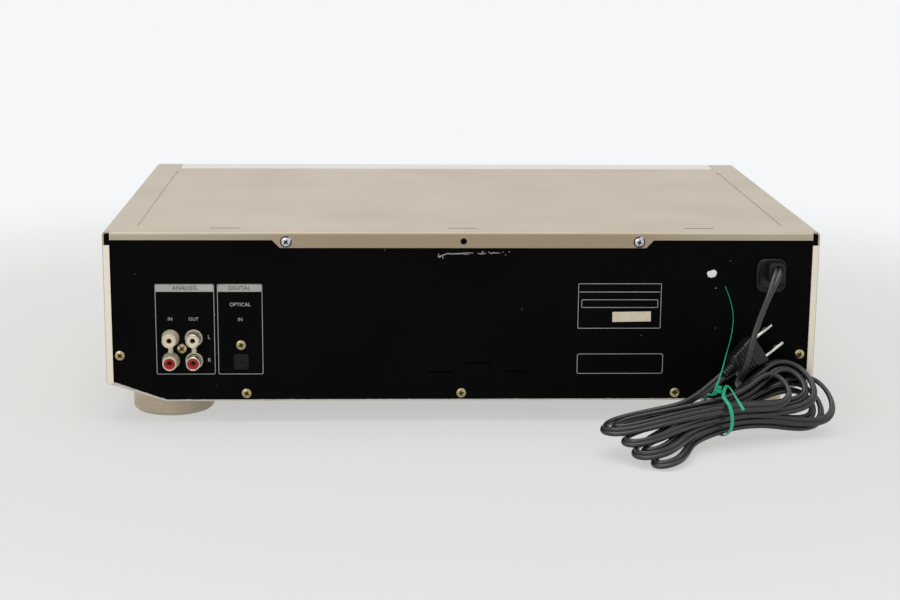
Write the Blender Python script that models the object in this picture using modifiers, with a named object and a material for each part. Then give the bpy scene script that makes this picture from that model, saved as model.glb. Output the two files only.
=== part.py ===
# Minidisc deck with a disc tray, seen in the photograph from behind.
# Metres, +Z up. The front is at -Y, the rear panel at +Y. The origin is on the table under the middle.
import math

import bmesh
import bpy
from mathutils import Matrix, Vector

MM = 0.001

# Whole deck
WIDTH = 430 * MM
TOP_Z = 118 * MM
FOOT_HEIGHT = 14.5 * MM
BODY_DEPTH = 283 * MM          # rear flange to front face
KNOB_PROUD = 14 * MM
JACK_PROUD = 7.5 * MM
GAP = 0.3 * MM                 # between pieces that touch
OVERRUN = 2 * MM               # how far a cutter runs past what it cuts
REAR_Y = (BODY_DEPTH + KNOB_PROUD - JACK_PROUD) / 2
FRONT_Y = REAR_Y - BODY_DEPTH

# Top cover, a folded steel sheet
COVER_SHEET = 1 * MM
COVER_BOTTOM_Z = 25.1 * MM
COVER_BEND = 2.2 * MM
REAR_BEND = 1.8 * MM
FLANGE_DROP = 4.8 * MM         # rear flange, outside the tab
TAB_DROP = 9.5 * MM            # rear flange between the two screws
TAB_HALF = 109.7 * MM
TAB_SLOPE = 4.5 * MM
STRIP_WIDTH = 4.3 * MM         # the side's own rear flange
NOTCH_DROP = 8 * MM            # corner relief, below the top
NOTCH_WIDTH = 4.6 * MM
BAND_WIDTH = 19 * MM
BAND_HALF = WIDTH / 2 - BAND_WIDTH   # inner edge of the side bands that run to the front
LEDGE_DEPTH = 22.7 * MM
LEDGE_CORNER = 3 * MM
GROOVE_INSET = 19.5 * MM
GROOVE_X = WIDTH / 2 - GROOVE_INSET
GROOVE_WIDTH = 2 * MM
GROOVE_DEPTH = 0.4 * MM
GROOVE_REAR = 21.6 * MM
GROOVE_LENGTH = 218 * MM
SLIT_LENGTH = 17.5 * MM
SLIT_WIDTH = 1 * MM
SLIT_REAR = 14 * MM
SLIT_X = 143.5 * MM
FLANGE_HOLE_RADIUS = 1.95 * MM
FLANGE_HOLE_DROP = 5.5 * MM

# Chassis tray and rear panel
CHASSIS_SHEET = 1.2 * MM
PANEL_SHEET = 1.2 * MM
FLAT_INSET = 35.4 * MM
FLAT_HALF = WIDTH / 2 - FLAT_INSET
CORNER_RISE = 11.9 * MM
CORNER_RUN = 34.1 * MM
SIDE_FIT = 1.3 * MM            # cover's outside to the chassis's outside
SHEET_Z = 14.5 * MM
FRONT_LIP = 10 * MM
FRONT_LIP_BACK = 13 * MM
PANEL_BACK = 2.5 * MM          # inner face of the rear panel, before the flange plane
PANEL_INSET = 1.6 * MM         # its edge, from the cover's outside
SIDE_LIP_Z = 50 * MM
REAR_LIP = 9 * MM
LIP_INSET = 45 * MM
LIP_HALF = WIDTH / 2 - LIP_INSET
BASE_SLOT_LENGTH = 30 * MM
BASE_SLOT_WIDTH = 3 * MM
BASE_SLOT_PITCH = 9 * MM
BASE_SLOT_COUNT = 6
BASE_SLOT_X = 108 * MM
PANEL_TOP_DROP = 1.8 * MM
VENT_LENGTH = 16.4 * MM
VENT_HEIGHT = 3.4 * MM
VENT_BULGE = 1.6 * MM
VENT_SLOPE = 2.4 * MM
VENT_MARGIN = 1.2 * MM
VENT_X = 13.5 * MM
VENT_Z = 29.9 * MM
VENT_PITCH = 23.1 * MM
VENT_STEP = 5.1 * MM

# Feet
FOOT_RADIUS = 25 * MM
FOOT_INSET = 36 * MM
FOOT_X = WIDTH / 2 - FOOT_INSET
FOOT_REAR = 41 * MM
FOOT_FRONT = 45 * MM
SOLE_ROUND = 1.6 * MM
CUP_RADIUS = 17 * MM
CUP_DEPTH = 3 * MM
SCREW_WELL_RADIUS = 4 * MM
SCREW_WELL_DEPTH = 8 * MM

# Front panel
FACE = 3.5 * MM
FACE_BOTTOM_Z = 16 * MM
FACE_TOP_DROP = 1 * MM
FACE_CORNER = 3 * MM
LEDGE_THICK = 1.8 * MM
LEDGE_START = 1 * MM           # behind the face, inside its rounded top edge
SKIRT_DEPTH = 8 * MM
SKIRT_WALL = 2 * MM
SKIRT_INSET = 4 * MM
SKIRT_BOTTOM_Z = 19 * MM
SKIRT_TOP_Z = 113 * MM
FIT = 0.4 * MM                 # clearance round what shows in a face opening
UPPER_Z = 97 * MM              # tray, slot and the buttons beside them
POST_RADIUS = 3 * MM
BOARD_POSTS = ((-120 * MM, 30 * MM), (20 * MM, 30 * MM), (140 * MM, 30 * MM), (190 * MM, 36 * MM))

# Display
WINDOW_X = -52 * MM
WINDOW_Z = 59 * MM
WINDOW_WIDTH = 150 * MM
WINDOW_HEIGHT = 28 * MM
WINDOW_FLANGE = 3 * MM
FLANGE_SHEET = 1.2 * MM
TUBE_WIDTH = 116 * MM
TUBE_HEIGHT = 20 * MM
TUBE_DEPTH = 6 * MM
TUBE_EDGE = 1.2 * MM
TUBE_PAD_EDGE = 5 * MM

# Boards
BOARD = 1.6 * MM
BOARD_Z = 24 * MM              # underside of the two lying boards
STANDOFF_RADIUS = 4 * MM
STANDOFF_INSET = 7 * MM
FRONT_BOARD_BACK = 18 * MM     # its front face, behind the panel's face
FRONT_BOARD_BOTTOM_Z = 26 * MM
FRONT_BOARD_TOP_Z = 104 * MM
FRONT_BOARD_LOW_Z = 64 * MM    # under the two mechanisms
FRONT_BOARD_INSET = 11 * MM
FRONT_BOARD_HALF = WIDTH / 2 - FRONT_BOARD_INSET
SWITCH_HALF = 3 * MM
SWITCH_HEIGHT = 4.2 * MM
MAIN_LEFT_X = 28 * MM
MAIN_INSET = 17 * MM
MAIN_RIGHT_X = WIDTH / 2 - MAIN_INSET
MAIN_DEPTH = 142 * MM
BOARD_REAR = 8 * MM
CHIP_HEIGHT = 3 * MM
CAN_RADIUS = 5 * MM
CAN_HEIGHT = 14 * MM
# Middle and size of each chip, and middle of each can, as shares of the main board
CHIP_SHARES = ((-0.2, -0.2, 0.18, 0.2), (0.12, -0.25, 0.12, 0.16), (-0.25, 0.2, 0.1, 0.22),
               (0.3, -0.1, 0.1, 0.12))
CAN_SHARES = ((0.05, 0.15), (0.05, 0.3), (-0.05, 0.3), (-0.42, 0.1), (-0.42, -0.1))
BOARD_TOWERS = ((-FRONT_BOARD_HALF, -142 * MM), (16 * MM, 72 * MM), (163 * MM, FRONT_BOARD_HALF))

# Power supply
POWER_INSET = 47 * MM
POWER_X = POWER_INSET - WIDTH / 2
POWER_WIDTH = 58 * MM
POWER_REAR = 92 * MM
POWER_DEPTH = 146 * MM
CORE_WIDTH = 56 * MM
CORE_DEPTH = 58 * MM
CORE_HEIGHT = 40 * MM
CORE_REAR = 22 * MM
BRACKET_Z = 26.3 * MM
CORE_LIFT = 6 * MM
COIL_WIDTH = 34 * MM
BRACKET_WIDTH = 60 * MM
BRACKET_SHEET = 1.2 * MM
SINK_WIDTH = 50 * MM
SINK_DEPTH = 14 * MM
SINK_HEIGHT = 32 * MM
SINK_FINS = 9
SINK_FIN_SHARE = 0.45
SINK_BACK = 3 * MM
CAPACITOR_RADIUS = 11 * MM
CAPACITOR_HEIGHT = 36 * MM
CAPACITOR_EDGE = 1 * MM
CAPACITOR_FRONT = 60 * MM

# Phono jacks, two above two
JACK_INSET = 46 * MM
JACK_X = WIDTH / 2 - JACK_INSET
JACK_Z = 46 * MM
JACK_PITCH = 14 * MM
SLEEVE_RADIUS = 4.2 * MM
SLEEVE_HOLE = 1.6 * MM
SLEEVE_HOLE_DEPTH = 8 * MM
SLEEVE_SEAT = 4 * MM           # how deep a sleeve sits in the block
SLEEVE_EDGE = 0.4 * MM
COLLAR_RADIUS = 5.1 * MM
COLLAR_PROUD = 1.2 * MM
NECK_WIDTH = 2.6 * MM
BLOCK_MARGIN = 7 * MM
BLOCK_DEPTH = 12 * MM

# Optical socket with its dust plug
OPTICAL_SPACING = 35.2 * MM
OPTICAL_X = JACK_X - OPTICAL_SPACING
OPTICAL_Z = 38.2 * MM
OPTICAL_WIDTH = 9 * MM
OPTICAL_HEIGHT = 9.5 * MM
OPTICAL_WALL = 1.4 * MM
OPTICAL_DEPTH = 12 * MM
OPTICAL_SEAT = 6 * MM
PLUG_HEAD = 1.6 * MM

# Disc tray mechanism
TRAY_X = -62 * MM
TRAY_FRONT_WIDTH = 140 * MM
TRAY_FRONT_HEIGHT = 20 * MM
TRAY_FRONT_EDGE = 0.6 * MM
TRAY_WIDTH = 130 * MM
TRAY_LENGTH = 184 * MM
TRAY_TOP_Z = 100 * MM
TRAY_PLATE = 4 * MM
DISC_RADIUS = 61 * MM
DISC_RECESS = 1.5 * MM
SMALL_DISC_RADIUS = 41 * MM
SMALL_RECESS = 1.3 * MM
DISC_FRONT = 68 * MM           # from the tray's front end to the disc's middle
TRAY_SLOT_HALF = 18 * MM
HUB_HOLE_RADIUS = 20 * MM
TRAY_LUG_WIDTH = 100 * MM
TRAY_LUG_HEIGHT = 7 * MM
TRAY_LUG_DEPTH = 5 * MM
FRAME_WALL = 3 * MM
FRAME_BASE = 2.5 * MM
FRAME_BASE_Z = 70 * MM
FRAME_WALL_TOP_Z = 103 * MM
FRAME_SIDE_ROOM = 7 * MM       # from the tray's edge to the wall
FRAME_FRONT = 2 * MM           # clear of the display window's flange
FRAME_LENGTH = 202 * MM
FRAME_WINDOW_WIDTH = 76 * MM
FRAME_WINDOW_LENGTH = 146 * MM
FRAME_WINDOW_FRONT = 42 * MM
RAIL_OVERLAP = 3 * MM
RAIL_THICK = 2.4 * MM
RAIL_LENGTH = 136 * MM
HOOK_LENGTH = 12 * MM
LEG_RADIUS = 4.5 * MM
LEG_INSET = 7 * MM
LEG_FRONT = 30 * MM
LEG_REAR = 8 * MM

# Rack under the tray and the gear that drives it
LOAD_MODULE = 1.5 * MM
LOAD_TEETH = 20
LOAD_THICK = 5 * MM
LOAD_FRONT = 23 * MM           # gear axis, behind the tray's front end
RACK_SIDE = 52 * MM            # back of the rack, from the tray's middle
RACK_BACK = 2 * MM
RACK_FRONT = 3 * MM
RACK_LENGTH = 176 * MM
BACKLASH_SHARE = 0.1           # share of a tooth's pitch
PIN_RADIUS = 2 * MM
GEAR_POST_RADIUS = 4 * MM

# Traverse that carries the turntable and the pickup
TRAVERSE_WIDTH = 74 * MM
TRAVERSE_SHEET = 2 * MM
TRAVERSE_Z = 78 * MM
TRAVERSE_FRONT = 22 * MM       # in front of the disc's middle
TRAVERSE_LENGTH = 136 * MM
PIVOT_REAR = 5 * MM
PIVOT_LENGTH = 4 * MM
PIVOT_RADIUS = 2 * MM
EAR_RADIUS = 4.5 * MM
EAR_THICK = 3 * MM
MOTOR_RADIUS = 12 * MM
MOTOR_HEIGHT = 9 * MM
TABLE_RADIUS = 15 * MM
TABLE_THICK = 3 * MM
TABLE_Z = 95 * MM
CONE_RADIUS = 7.4 * MM
CONE_TIP = 6.4 * MM
CONE_HEIGHT = 2.4 * MM
SPINDLE_RADIUS = 1.5 * MM
SLED_WIDTH = 34 * MM
SLED_LENGTH = 24 * MM
SLED_Z = 84 * MM
SLED_HEIGHT = 9 * MM
SLED_START = 26 * MM           # lens to the turntable's axis with the sled fully in
LENS_RADIUS = 3.5 * MM
LENS_HEIGHT = 2 * MM
ROD_RADIUS = 1.5 * MM
ROD_SIDE = 19 * MM
ROD_FRONT = 4 * MM
ROD_LENGTH = 92 * MM
LUG_RADIUS = 3.4 * MM
LUG_LENGTH = 14 * MM
ROD_POST = 4 * MM
FEED_MODULE = 1 * MM
FEED_TEETH = 12
FEED_THICK = 4 * MM
FEED_RACK_LENGTH = 48 * MM
FEED_POST_RADIUS = 2.6 * MM
FEED_PIN_RADIUS = 1 * MM

# Clamp over the turntable
BRIDGE_Z = 106.5 * MM
BRIDGE_SHEET = 1.2 * MM
BRIDGE_DEPTH = 40 * MM
CLAMP_RADIUS = 16 * MM
CLAMP_NECK = 11 * MM
CLAMP_Z = 101.2 * MM
CLAMP_LOWER = 3.4 * MM
CLAMP_UPPER = 1.5 * MM
CLAMP_HOLLOW = 8 * MM
CLAMP_HOLLOW_DEPTH = 2 * MM

# Minidisc mechanism
MD_X = 118 * MM
SLOT_WIDTH = 75 * MM
SLOT_HEIGHT = 7 * MM
BEZEL_WIDTH = 86 * MM
BEZEL_HEIGHT = 15 * MM
BEZEL_DEPTH = 0.8 * MM
FLAP_WIDTH = 78 * MM           # swings in between the frame's walls
FLAP_HEIGHT = 10 * MM
FLAP_SHEET = 1.2 * MM
FLAP_PIN_RADIUS = 1 * MM
FLAP_EAR = 2.4 * MM
MD_FRAME_WALL = 2 * MM
MD_FRAME_BASE = 2 * MM
MD_FRAME_BASE_Z = 78 * MM
MD_FRAME_TOP_Z = 104 * MM
MD_FRAME_FRONT = 15 * MM       # behind the face
MD_FRAME_LENGTH = 100 * MM
HOLDER_WIDTH = 75.4 * MM
HOLDER_HEIGHT = 7.6 * MM
HOLDER_LENGTH = 70 * MM
HOLDER_FRONT = 2 * MM
HOLDER_SHEET = 0.8 * MM
HOLDER_DROP = 5 * MM
HOLDER_PIN_RADIUS = 1.2 * MM
HOLDER_SIDE_ROOM = 1.8 * MM
HOLDER_WINDOW_WIDTH = 40 * MM
HOLDER_WINDOW_LENGTH = 52 * MM
HEAD_SLOT_WIDTH = 14 * MM
MD_DISC_FRONT = 38 * MM
MD_TABLE_RADIUS = 8 * MM
MD_TABLE_Z = 84.6 * MM
MD_TABLE_THICK = 2.6 * MM
MD_MOTOR_RADIUS = 10 * MM
MD_MOTOR_HEIGHT = 3 * MM
MD_SLED_WIDTH = 28 * MM
MD_SLED_LENGTH = 18 * MM
MD_SLED_HEIGHT = 7 * MM
MD_SLED_START = 20 * MM
MD_ARM_WIDTH = 10 * MM
MD_ARM_SHEET = 1.6 * MM
MD_ARM_Z = 105 * MM

# Buttons, knobs and jack on the front
BUTTON_PROUD = 1.5 * MM
BUTTON_FLANGE = 1 * MM
BUTTON_LIP = 1.2 * MM
BUTTON_EDGE = 0.5 * MM
STEM_HALF = 2 * MM
STEM_LENGTH = 7 * MM
LEFT_COLUMN_INSET = 25 * MM
LEFT_COLUMN_X = LEFT_COLUMN_INSET - WIDTH / 2
POWER_BUTTON = (LEFT_COLUMN_X, UPPER_Z, 24 * MM, 10 * MM)
OPEN_BUTTON = (27 * MM, UPPER_Z, 16 * MM, 7 * MM)
EJECT_INSET = 31 * MM
EJECT_BUTTON = (WIDTH / 2 - EJECT_INSET, UPPER_Z, 16 * MM, 7 * MM)
KEY_WIDTH = 18 * MM
KEY_HEIGHT = 8 * MM
KEY_ROOM = 12 * MM             # display window to the first key
KEY_X = WINDOW_X + (WINDOW_WIDTH + KEY_WIDTH) / 2 + KEY_ROOM
KEY_PITCH = 24 * MM
KEY_Z = 68 * MM
KEY_ROW = 17 * MM
RECORD_BUTTON = (KEY_X + KEY_PITCH / 2, 33 * MM, 6 * MM)
DIAL_ROOM = 20 * MM
DIAL_RADIUS = 17 * MM
DIAL_X = KEY_X + KEY_PITCH + KEY_WIDTH / 2 + DIAL_ROOM + DIAL_RADIUS
DIAL_Z = 55 * MM
LEVEL_INSET = 43 * MM
LEVEL_X = WIDTH / 2 - LEVEL_INSET
LEVEL_RADIUS = 13 * MM
PHONES_KNOB_SPACING = 32 * MM
PHONES_KNOB_X = LEFT_COLUMN_X + PHONES_KNOB_SPACING
PHONES_KNOB_RADIUS = 7 * MM
PHONES_Z = 40 * MM
KNOB_FLUTES = 24
FLUTE = 0.45 * MM
SHAFT_RADIUS = 3 * MM
SHAFT_LENGTH = 14 * MM
POT_HALF = 6 * MM
POT_HEIGHT = 4 * MM
PLATE_ROOM = 2 * MM
POINTER_WIDTH = 1.2 * MM
POINTER_DEPTH = 0.6 * MM
JACK_BARREL_RADIUS = 4.8 * MM
JACK_BORE_RADIUS = 3.3 * MM
JACK_BORE_DEPTH = 22 * MM
PHONES_X = LEFT_COLUMN_X
PHONES_BODY_HALF = 6.5 * MM
PHONES_BODY_DEPTH = 25 * MM
SWITCH_X = LEFT_COLUMN_X
SWITCH_Z = 69 * MM
SWITCH_SLOT_WIDTH = 14 * MM
SWITCH_SLOT_HEIGHT = 4.6 * MM
SWITCH_KNOB_WIDTH = 4 * MM
SWITCH_TRAVEL = 4 * MM
SWITCH_PROUD = 2 * MM

# Strain relief, mains cord, plug and tie
BUSH_INSET = 29 * MM
BUSH_X = BUSH_INSET - WIDTH / 2
BUSH_Z = 91.8 * MM
BUSH_WIDTH = 17.8 * MM
BUSH_HEIGHT = 20.3 * MM
BUSH_ROUND = 5 * MM
BUSH_RIM = 2.4 * MM
BUSH_NECK = 1.4 * MM           # the hole is this much inside the rim
NOSE_SHIFT = 2 * MM
NOSE_LIFT = 2.7 * MM
BUSH_NOSE_WIDTH = 11 * MM
BUSH_NOSE_HEIGHT = 14 * MM
BUSH_NOSE = 6 * MM
BUSH_INSIDE = 8 * MM
CORD_RADIUS = 2.1 * MM         # round cord of the flat twin flex's area
CORD_STEP = 5.2 * MM
# The cord's own route, behind the rear flange plane: X, distance behind it, Z
CORD_ROUTE = (
    (-188.4 * MM, 2.0 * MM, 96.8 * MM),
    (-188.2 * MM, 9.5 * MM, 96.9 * MM),
    (-186.6 * MM, 14.5 * MM, 94.6 * MM),
    (-182.8 * MM, 19.0 * MM, 88.0 * MM),
    (-178.6 * MM, 23.5 * MM, 79.5 * MM),
    (-173.8 * MM, 27.5 * MM, 69.5 * MM),
    (-170.6 * MM, 30.5 * MM, 61.0 * MM),
    (-168.9 * MM, 31.8 * MM, 53.5 * MM),
    (-167.7 * MM, 30.7 * MM, 46.4 * MM),
    (-166.4 * MM, 30.6 * MM, 39.7 * MM),
    (-163.3 * MM, 26.2 * MM, 33.5 * MM),
    (-164.6 * MM, 20.6 * MM, 28.7 * MM),
    (-171.6 * MM, 17.4 * MM, 24.7 * MM),
)

# Hank of the same cord, in four layers drawn in at the tie
HANK_X = -150 * MM
HANK_BEHIND = 45 * MM
HANK_Z = 18.6 * MM
HANK_TURN = math.radians(24)   # its long axis in plan, left end towards the viewer
HANK_TILT = math.radians(7.5)  # left end lower
HANK_TURNS = 5.9
HANK_STEPS = 140
LAYER_TURNS = 1.5
CLIMB_TURNS = 0.16
LAYER_STEP = 4.9 * MM
TURN_STEP = 5.12 * MM
WAIST_HALF = 8.6 * MM
LOOP_POINTS = 24
# One value for each layer, top layer first
REACH_LEFT = (78 * MM, 76 * MM, 74 * MM, 74 * MM)
REACH_RIGHT = (50 * MM, 68 * MM, 80 * MM, 72 * MM)
SWELL_LEFT = (19 * MM, 18 * MM, 17 * MM, 15 * MM)
SWELL_RIGHT = (26 * MM, 34 * MM, 40 * MM, 32 * MM)
FAN_LEFT = (4, -7, -16, -24)   # degrees
FAN_RIGHT = (-7, -5, 5, 6)
LEAN_LEFT = 0                  # degrees, rear side up
LEAN_RIGHT = 40
FAN_START = 9 * MM             # the fan opens from here to FAN_END
FAN_END = 59 * MM
LEAN_SPAN = 90 * MM

# Two-pin plug, lying behind the hank. The middle of its face, the way its blades point,
# the way they lie side by side, and the way it is thin, in X, Y and Z
PLUG_FACE = (-176.6 * MM, 11.6 * MM, 48.9 * MM)
PLUG_AIM = (-0.7653, -0.4629, 0.4472)
PLUG_SIDE = (0.5513, -0.1129, 0.8266)
PLUG_BODY = 20 * MM
PLUG_WIDTH = 19 * MM
PLUG_THICK = 12.5 * MM
PLUG_ROUND = 2.4 * MM
PLUG_TAIL = 9 * MM
PLUG_TAIL_WIDE = 4 * MM
PLUG_TAIL_NARROW = 2.8 * MM
PLUG_TAPER_SHARE = 0.72        # rear end against the face
BLADE_LENGTH = 17 * MM
BLADE_WIDTH = 6.3 * MM
BLADE_THICK = 1.5 * MM
BLADE_PITCH = 12.7 * MM
BLADE_SEAT = 4 * MM
# The plug's lead into the hank
LEAD_STRAIGHT = 5 * MM
LEAD_ROUTE = (
    (-140.9 * MM, 35.4 * MM, 28.7 * MM),
    (-127.8 * MM, 45.0 * MM, 24.1 * MM),
)

# Twist tie: a ring round the waist, one long free end and one short
TIE_RADIUS = 0.8 * MM
TIE_RING = 13 * MM
TIE_ACROSS = 0.5 * MM          # ring's middle, from the hank's axis towards the rear
TIE_ALONG = 2 * MM
TIE_STEPS = 30
TIE_STEP = 1.6 * MM
TIE_RING_SHARE = 0.94
TIE_SLANT = 3.2 * MM           # the ring's two ends pass each other by this
TIE_KNOT_TURN = 70             # degrees from the hank's rear side, upwards
TIE_LONG = (
    (-151.3 * MM, 37.0 * MM, 42.5 * MM),
    (-155.0 * MM, 28.0 * MM, 49.0 * MM),
    (-159.6 * MM, 19.0 * MM, 59.5 * MM),
    (-161.4 * MM, 13.0 * MM, 69.5 * MM),
    (-160.0 * MM, 9.0 * MM, 78.5 * MM),
    (-157.2 * MM, 6.0 * MM, 86.4 * MM),
)
TIE_SHORT = (
    (-152.5 * MM, 50.5 * MM, 36.5 * MM),
    (-157.5 * MM, 56.5 * MM, 29.5 * MM),
    (-160.5 * MM, 59.5 * MM, 24.5 * MM),
)

# Collections: the deck's own pieces, and the shapes that cut or join them
for leftover in list(bpy.data.objects):
    bpy.data.objects.remove(leftover)


def new_collection(name):
    group = bpy.data.collections.new(name)
    bpy.context.scene.collection.children.link(group)
    return group


DECK = new_collection("Minidisc deck")
TOOLS = new_collection("Cutters")


def new_finish(name, colour, roughness, metallic=0.0):
    finish = bpy.data.materials.new(name)
    finish.use_nodes = True
    shader = finish.node_tree.nodes["Principled BSDF"]
    shader.inputs["Base Color"].default_value = (*colour, 1.0)
    shader.inputs["Roughness"].default_value = roughness
    shader.inputs["Metallic"].default_value = metallic
    return finish


CHAMPAGNE = new_finish("champagne paint", (0.55, 0.48, 0.38), 0.45)
ZINC = new_finish("zinc-plated steel", (0.6, 0.6, 0.58), 0.35, 1.0)
ALUMINIUM = new_finish("aluminium", (0.75, 0.74, 0.72), 0.3, 1.0)
NICKEL = new_finish("nickel", (0.72, 0.7, 0.66), 0.2, 1.0)
PANEL_PLASTIC = new_finish("champagne ABS", (0.6, 0.53, 0.44), 0.4)
SMOKED = new_finish("smoked acrylic", (0.01, 0.01, 0.012), 0.1)
GLASS = new_finish("display glass", (0.08, 0.12, 0.12), 0.08)
LAMINATE = new_finish("circuit board", (0.24, 0.16, 0.06), 0.6)
DARK_PLASTIC = new_finish("black ABS", (0.02, 0.02, 0.02), 0.45)
GREY_PLASTIC = new_finish("grey ABS", (0.25, 0.25, 0.26), 0.5)
WHITE_PLASTIC = new_finish("white acetal", (0.8, 0.8, 0.76), 0.5)
BEIGE_PLASTIC = new_finish("beige polyester", (0.6, 0.55, 0.42), 0.5)
CREAM_PLASTIC = new_finish("white jack insert", (0.8, 0.76, 0.62), 0.45)
RED_PLASTIC = new_finish("red jack insert", (0.45, 0.03, 0.04), 0.45)
SLEEVE_BLUE = new_finish("capacitor sleeve", (0.02, 0.04, 0.12), 0.4)
CORD_PVC = new_finish("cord PVC", (0.035, 0.033, 0.033), 0.5)
TIE_GREEN = new_finish("tie polyethylene", (0.01, 0.4, 0.2), 0.4)


def place(name, data, finish):
    """Put a piece in the deck, or a shape without a finish among the cutters."""
    thing = bpy.data.objects.new(name, data)
    if finish is None:
        TOOLS.objects.link(thing)
        thing.hide_render = True
        thing.display_type = 'WIRE'
    else:
        DECK.objects.link(thing)
        data.materials.append(finish)
    return thing


def shade(thing, angle=math.radians(35)):
    thing.data.shade_smooth()
    thing.data.set_sharp_from_angle(angle=angle)


def bevel(thing, width, segments=1):
    rounding = thing.modifiers.new("edges", 'BEVEL')
    rounding.width = width
    rounding.segments = segments
    rounding.limit_method = 'ANGLE'
    return thing


def block(name, low, high, finish=None, edge=0):
    """A box between two corners, its edges rounded by edge."""
    middle = (Vector(low) + Vector(high)) / 2
    size = Vector(high) - Vector(low)
    shape = bmesh.new()
    bmesh.ops.create_cube(shape, size=1)
    for corner in shape.verts:
        corner.co = Vector(along * span for along, span in zip(corner.co, size))
    mesh = bpy.data.meshes.new(name)
    shape.to_mesh(mesh)
    shape.free()
    thing = place(name, mesh, finish)
    thing.location = middle
    if edge:
        bevel(thing, edge)
    return thing


def rod(name, start, end, radius, finish=None, sides=20, end_radius=None):
    """A round bar, or a cone when end_radius is given."""
    along = Vector(end) - Vector(start)
    shape = bmesh.new()
    far_radius = radius if end_radius is None else end_radius
    bmesh.ops.create_cone(shape, cap_ends=True, segments=sides, radius1=radius, radius2=far_radius,
                          depth=along.length)
    mesh = bpy.data.meshes.new(name)
    shape.to_mesh(mesh)
    shape.free()
    thing = place(name, mesh, finish)
    thing.location = (Vector(start) + Vector(end)) / 2
    thing.rotation_euler = along.to_track_quat('Z', 'Y').to_euler()
    shade(thing)
    return thing


def turned(name, profile, centre, finish=None, sides=32, axis='Z'):
    """A turned shape; profile is (radius, height) from the top, down the outer side."""
    mesh = bpy.data.meshes.new(name)
    points = [(radius, 0, height) for radius, height in profile]
    edges = [(i, i + 1) for i in range(len(points) - 1)]
    if profile[0][0] > 0:
        edges.append((len(points) - 1, 0))
    mesh.from_pydata(points, edges, [])
    thing = place(name, mesh, finish)
    screw = thing.modifiers.new("turn", 'SCREW')
    screw.steps = screw.render_steps = sides
    screw.use_merge_vertices = True
    screw.merge_threshold = 1e-6
    screw.use_normal_calculate = False
    screw.use_smooth_shade = True
    thing.location = centre
    if axis == 'Y':
        thing.rotation_euler = (-math.pi / 2, 0, 0)
    return thing


def plate(name, outlines, low, high, axis='Z', finish=None):
    """A flat outline with holes, extruded from low to high along an axis.

    The outline's two numbers are X and Y for Z, X and Z for Y, and Y and Z for X.
    """
    curve = bpy.data.curves.new(name, 'CURVE')
    curve.dimensions = '2D'
    curve.fill_mode = 'BOTH'
    curve.extrude = abs(high - low) / 2
    for outline in outlines:
        spline = curve.splines.new('POLY')
        spline.points.add(len(outline) - 1)
        for point, (across, up) in zip(spline.points, outline):
            point.co = (across, up, 0, 1)
        spline.use_cyclic_u = True
    draft = bpy.data.objects.new(name, curve)
    DECK.objects.link(draft)
    middle = (low + high) / 2
    if axis == 'Z':
        draft.location = (0, 0, middle)
    elif axis == 'Y':
        draft.location = (0, middle, 0)
        draft.rotation_euler = (math.pi / 2, 0, 0)
    else:
        draft.location = (middle, 0, 0)
        draft.rotation_euler = (math.pi / 2, 0, math.pi / 2)
    bpy.context.view_layer.update()
    mesh = bpy.data.meshes.new_from_object(draft.evaluated_get(bpy.context.evaluated_depsgraph_get()))
    shape = bmesh.new()
    shape.from_mesh(mesh)
    bmesh.ops.remove_doubles(shape, verts=shape.verts, dist=1e-6)
    bmesh.ops.recalc_face_normals(shape, faces=shape.faces)
    shape.to_mesh(mesh)
    shape.free()
    mesh.name = name
    turn = draft.matrix_world.copy()
    bpy.data.objects.remove(draft)
    bpy.data.curves.remove(curve)
    thing = place(name, mesh, finish)
    thing.name = name
    thing.matrix_world = turn
    return thing


def tube(name, points, radius, finish, resolution=2):
    curve = bpy.data.curves.new(name, 'CURVE')
    curve.dimensions = '3D'
    curve.bevel_depth = radius
    curve.bevel_resolution = resolution
    curve.use_fill_caps = True
    spline = curve.splines.new('POLY')
    spline.points.add(len(points) - 1)
    for point, position in zip(spline.points, points):
        point.co = (*position, 1)
    spline.use_smooth = True
    return place(name, curve, finish)


def combine(thing, operation, tools):
    for tool in tools:
        step = thing.modifiers.new(operation.lower(), 'BOOLEAN')
        step.operation = operation
        step.object = tool
    return thing


def cut(thing, *tools):
    return combine(thing, 'DIFFERENCE', tools)


def join(thing, *tools):
    return combine(thing, 'UNION', tools)


# Outlines
def rectangle(middle, width, height):
    x, y = middle
    return [(x - width / 2, y - height / 2), (x + width / 2, y - height / 2),
            (x + width / 2, y + height / 2), (x - width / 2, y + height / 2)]


def circle(middle, radius, sides=24):
    x, y = middle
    turns = [2 * math.pi * i / sides for i in range(sides)]
    return [(x + radius * math.cos(turn), y + radius * math.sin(turn)) for turn in turns]


def rounded(points, radius, steps=3, closed=True):
    """The same outline with an arc at each corner."""
    result = []
    count = len(points)
    for i, corner in enumerate(points):
        if not closed and i in (0, count - 1):
            result.append(corner)
            continue
        corner = Vector(corner)
        to_last = (Vector(points[i - 1]) - corner).normalized()
        to_next = (Vector(points[(i + 1) % count]) - corner).normalized()
        half = to_last.angle(to_next) / 2
        reach = radius / math.tan(half)
        middle = corner + (to_last + to_next).normalized() * radius / math.sin(half)
        first = corner + to_last * reach - middle
        sweep = first.angle_signed(corner + to_next * reach - middle)
        for step in range(steps + 1):
            turn = -sweep * step / steps
            across = first.x * math.cos(turn) - first.y * math.sin(turn)
            up = first.x * math.sin(turn) + first.y * math.cos(turn)
            result.append((middle.x + across, middle.y + up))
    return result


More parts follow.
